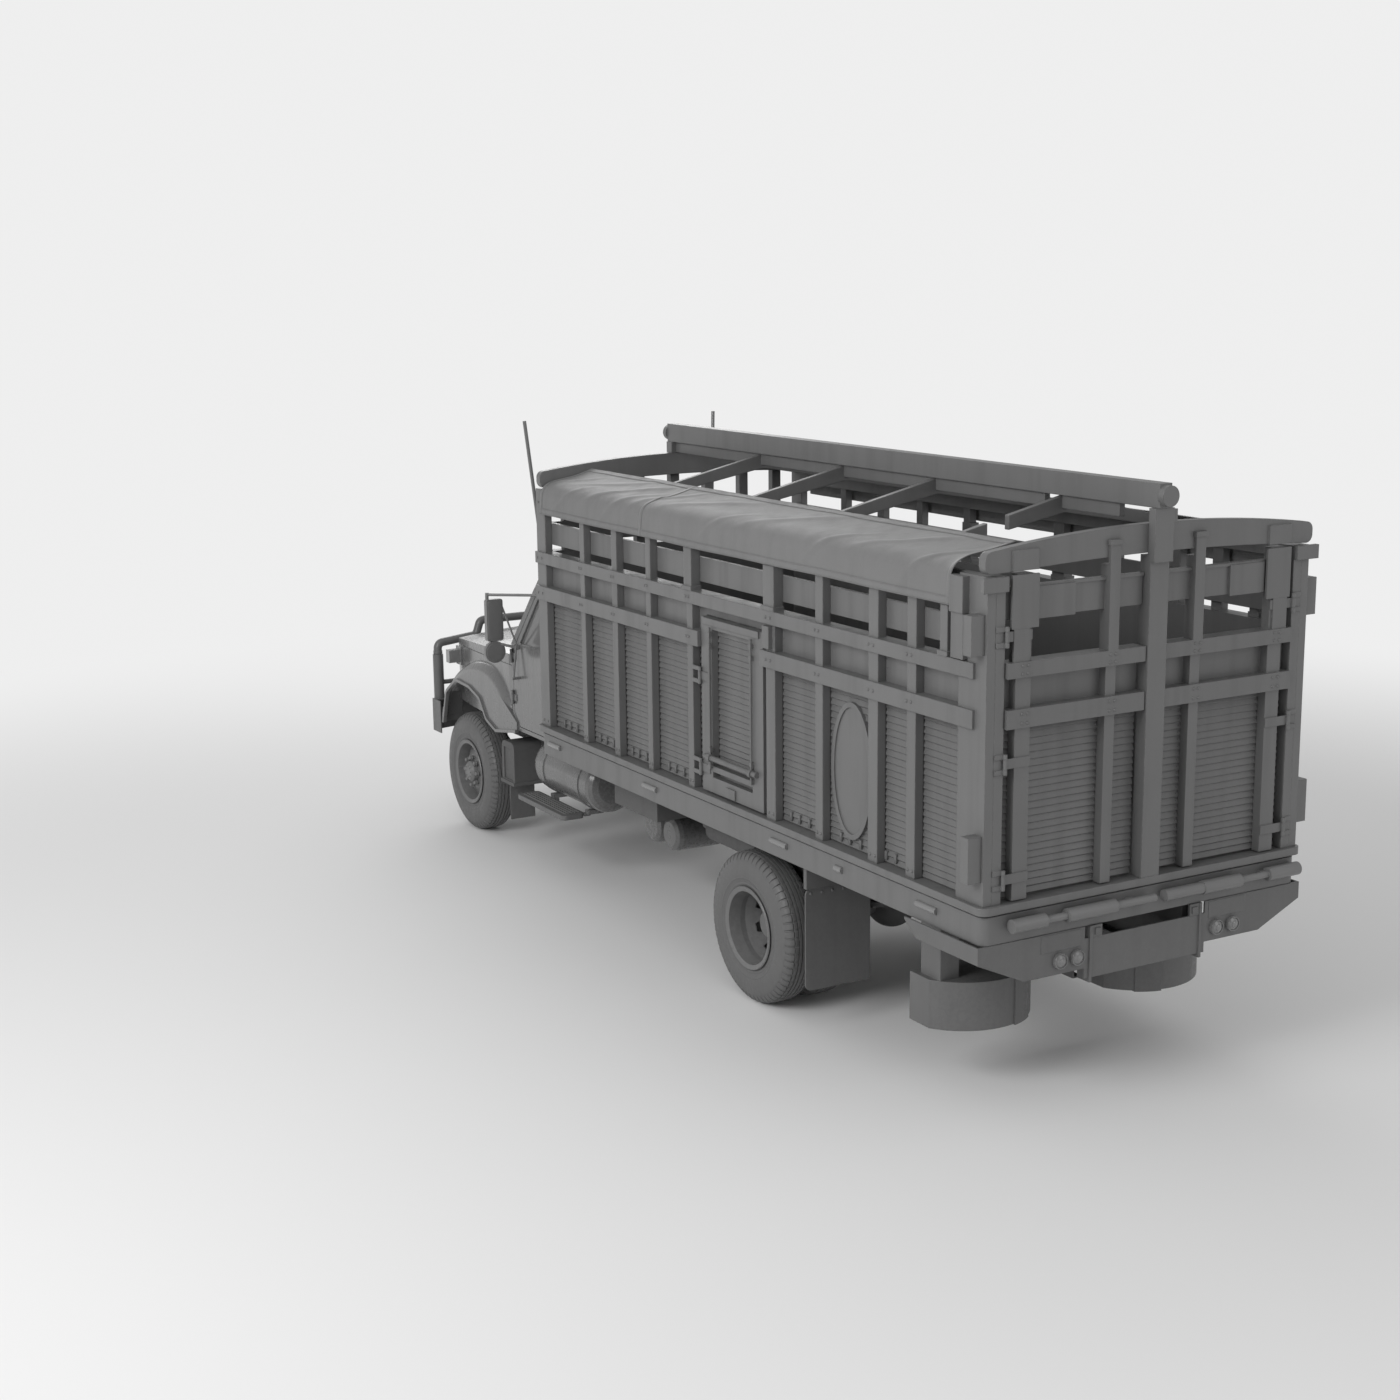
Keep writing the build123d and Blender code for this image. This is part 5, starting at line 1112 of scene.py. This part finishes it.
LAMP_LENS = [
    # share of the radius and height: a rim, a channel and a domed lens with a raised middle
    (1, -0.004), (1, 0.006), (0.94, 0.012), (0.86, 0.011), (0.82, 0.004), (0.74, 0.006), (0.60, 0.012),
    (0.44, 0.016), (0.42, 0.020), (0.30, 0.024), (0.12, 0.026), (0, 0.026),
]
TAIL_LAMPS = [(-4.324, y, 0.973) for y in (0.661, 0.533, -0.562, -0.694)]
HEAD_LAMPS = [(4.134, y, 1.370) for y in (0.685, -0.685)]
ROOF_LAMPS = [(2.24, y, 2.425) for y in (-0.62, -0.20, 0.0, 0.20, 0.62)]
ROOF_LAMP = ((-0.045, -0.025, -0.006), (0.045, 0.025, 0.030))
MIRROR_GLASS = ((2.4415, 1.115, 1.930), (2.446, 1.241, 2.256))
ROUND_MIRROR = [(0.0, 0.0), (0.080, 0.0), (0.078, 0.004), (0.05, 0.008), (0, 0.010)]
ROUND_MIRROR_PLACE = (2.4455, 1.182, 1.822)
HANDLE_PLATE = ((1.765, 0.983, 1.655), (1.905, 0.992, 1.705))
HANDLE_BAR = [
    (1.775, 0.990, 1.680), (1.785, 1.020, 1.680), (1.835, 1.026, 1.680), (1.885, 1.020, 1.680),
    (1.895, 0.990, 1.680),
]


def make_lamps():
    """Lenses over the tail lamps and the headlamps."""
    for name, marks, radius, turn in (
        ("tail_lenses", TAIL_LAMPS, 0.049, BACKWARD),
        ("head_lenses", HEAD_LAMPS, 0.084, FORWARD),
    ):
        add_scattered(name, marks, moved(turned_shares(radius, LAMP_LENS, 40), turn), "lens")


def make_cab_fittings():
    """Mirror glass and handles, riding on the doors, and the roof lamps."""
    for side, hand in SIDES:
        body = "door_" + hand
        flip = Matrix.Diagonal((1, side, 1, 1))
        add_piece("mirror_glass_" + hand, moved(soft_box(*MIRROR_GLASS, 0.002), flip), "glass", body)
        x, y, z = ROUND_MIRROR_PLACE
        round_glass = moved(turned(ROUND_MIRROR, 32), Matrix.Translation((x, side * y, z)) @ BACKWARD)
        add_piece("round_mirror_glass_" + hand, round_glass, "glass", body)
        parts = (soft_box(*HANDLE_PLATE, 0.004), swept(HANDLE_BAR, 0.007))
        add_joined("door_handle_" + hand, [moved(part, flip) for part in parts], "trim_metal", body)
    add_scattered("roof_lamps", ROOF_LAMPS, soft_box(*ROOF_LAMP, 0.010, 3), "lens", crease=SOFT_CREASE)


# Windscreen seal, wipers and gauges

SCREEN = [(-0.86, 1.88), (0.86, 1.88), (0.765, 2.32), (-0.765, 2.32)]
SCREEN_X, SCREEN_FOOT, SCREEN_SLOPE = 2.5435, 1.86, 0.5
SCREEN_OUT = (0.894, 0.447)
SEAL_SHARES = (0.03, 0.10, 0.35, 0.65, 0.90, 0.97)
BLADE_STEPS = (0.02, 0.15, 0.30, 0.45, 0.52)
WIPERS_Y = (0.42, -0.30)
WIPER_BOSS = [(0.020, -0.010), (0.020, 0.010), (0.014, 0.018), (0, 0.020)]
GAUGE = [
    # share of the radius and height: a bezel, a sunk face and the middle of the needle
    (1, -0.01), (1, 0.006), (0.90, 0.010), (0.84, 0.002), (0.1, 0.002), (0.08, 0.006), (0, 0.006),
]
GAUGES = [
    # y, z, radius
    (0.50, 1.770, 0.055), (0.34, 1.770, 0.055), (0.62, 1.785, 0.026), (0.62, 1.735, 0.026),
    (0.22, 1.785, 0.026), (0.22, 1.735, 0.026),
]


def screen_point(y, z, off):
    """A point on the windscreen's outer face, off it by that much."""
    x = SCREEN_X - SCREEN_SLOPE * (z - SCREEN_FOOT) + SCREEN_OUT[0] * off
    return (x, y, z + SCREEN_OUT[1] * off)


def make_screen_fittings():
    """The windscreen's rubber seal and two parked wipers."""
    rim = []
    for (y0, z0), (y1, z1) in zip(SCREEN, SCREEN[1:] + SCREEN[:1]):
        rim += [screen_point(y0 + t * (y1 - y0), z0 + t * (z1 - z0), 0.004) for t in SEAL_SHARES]
    add_piece("screen_seal", swept(rim, 0.011, 12, closed=True), "cabin_plastic")
    parts = []
    for y in WIPERS_Y:
        foot = screen_point(y, 1.862, 0.012)
        knee = screen_point(y, 1.868, 0.030)
        elbow = screen_point(y + 0.05, 1.90, 0.040)
        tip = screen_point(y + 0.30, 1.945, 0.026)
        parts.append(swept([foot, knee, elbow, tip], 0.0055))
        parts.append(swept([screen_point(y + t, 1.905 + 0.10 * t, 0.016) for t in BLADE_STEPS], 0.0075))
        stand = Matrix.Translation(foot) @ Matrix.Rotation(math.radians(60), 4, "Y")
        parts.append(moved(turned(WIPER_BOSS, 20), stand))
    add_joined("wipers", parts, "trim_metal")


def make_dash_fittings():
    """Two large and four small gauges with their bezels on the dashboard."""
    parts = []
    for y, z, radius in GAUGES:
        x = 2.275 - 0.3 * (1.73 - z) + 0.012
        place = Matrix.Translation((x, y, z)) @ Matrix.Rotation(math.radians(-64), 4, "Y")
        parts.append(moved(turned_shares(radius, GAUGE, 32), place))
    add_joined("dash_gauges", parts, "trim_metal")


# Chassis fittings

AXLE_BOLTS = [
    # axle's x, top and lower end of the U-bolts
    (FRONT_X, 0.585, 0.420),
    (REAR_X, 0.685, 0.440),
]
SPRING_INNER, SPRING_Y, SPRING_OUTER = 0.341, 0.385, 0.429
SHOCKS = [
    # foot's x, how far it leans along
    (FRONT_X - 0.20, -0.05),
    (REAR_X + 0.26, 0.06),
]
SHOCK = [
    (0.0, 0.0), (0.020, 0.0), (0.024, 0.010), (0.024, 0.020), (0.034, 0.024), (0.034, 0.220), (0.041, 0.224),
    (0.041, 0.410), (0.028, 0.422), (0.0, 0.422),
]
CHAMBER = [
    (0.0, 0.0), (0.060, 0.0), (0.074, 0.014), (0.078, 0.050), (0.088, 0.054), (0.088, 0.066), (0.078, 0.070),
    (0.070, 0.120), (0.045, 0.138), (0.0, 0.140),
]
CHAMBER_Y = 0.56
FLAP_BOLTS = [(-2.401, side * (0.74 + 0.084 * i), 0.965) for side in (1, -1) for i in range(6)]


def make_chassis_fittings():
    """U-bolts round the springs, shock absorbers, brake chambers and the flaps' bolts."""
    bolts, rods, pots = [], [], []
    for x, top, low in AXLE_BOLTS:
        bend = [
            (SPRING_INNER, low), (SPRING_INNER, low + 0.1), (SPRING_INNER, top), (SPRING_Y, top + 0.020),
            (SPRING_OUTER, top), (SPRING_OUTER, low + 0.1), (SPRING_OUTER, low),
        ]
        for side in (1, -1):
            for step in (-0.085, 0.085):
                bolts.append(swept([(x + step, side * y, z) for y, z in bend], 0.009))
            y = side * SPRING_Y
            saddle = ((x - 0.11, y - 0.062, low + 0.005), (x + 0.11, y + 0.062, low + 0.022))
            bolts.append(soft_box(*saddle, 0.004, 1))
    for x, lean in SHOCKS:
        for side in (1, -1):
            way = Vector((lean, side * -0.02, 0.42)).to_track_quat("Z", "Y").to_matrix().to_4x4()
            rods.append(moved(turned(SHOCK, 24), Matrix.Translation((x, side * 0.30, 0.46)) @ way))
    for side in (1, -1):
        y = side * CHAMBER_Y
        pots.append(moved(turned(CHAMBER, 32), Matrix.Translation((REAR_X - 0.10, y, 0.640)) @ BACKWARD))
        pots.append(soft_box((REAR_X - 0.105, y - 0.04, 0.560), (REAR_X - 0.090, y + 0.04, 0.680), 0.004, 1))
    for name, meshes in (("spring_bolts", bolts), ("shock_absorbers", rods), ("brake_chambers", pots)):
        add_joined(name, meshes, "chassis_paint")
    add_scattered("flap_bolts", FLAP_BOLTS, moved(dome(*BOLT), BACKWARD), "flap_rubber")


make_camera()
make_materials()
make_floor()
make_room()
make_lights()
dress_nodes()
make_trees()
make_tyres()
make_wheel_fittings()
make_tarps()
make_seat()
make_wall_fittings()
make_lamps()
make_cab_fittings()
make_gate_fittings()
make_screen_fittings()
make_chassis_fittings()
make_dash_fittings()
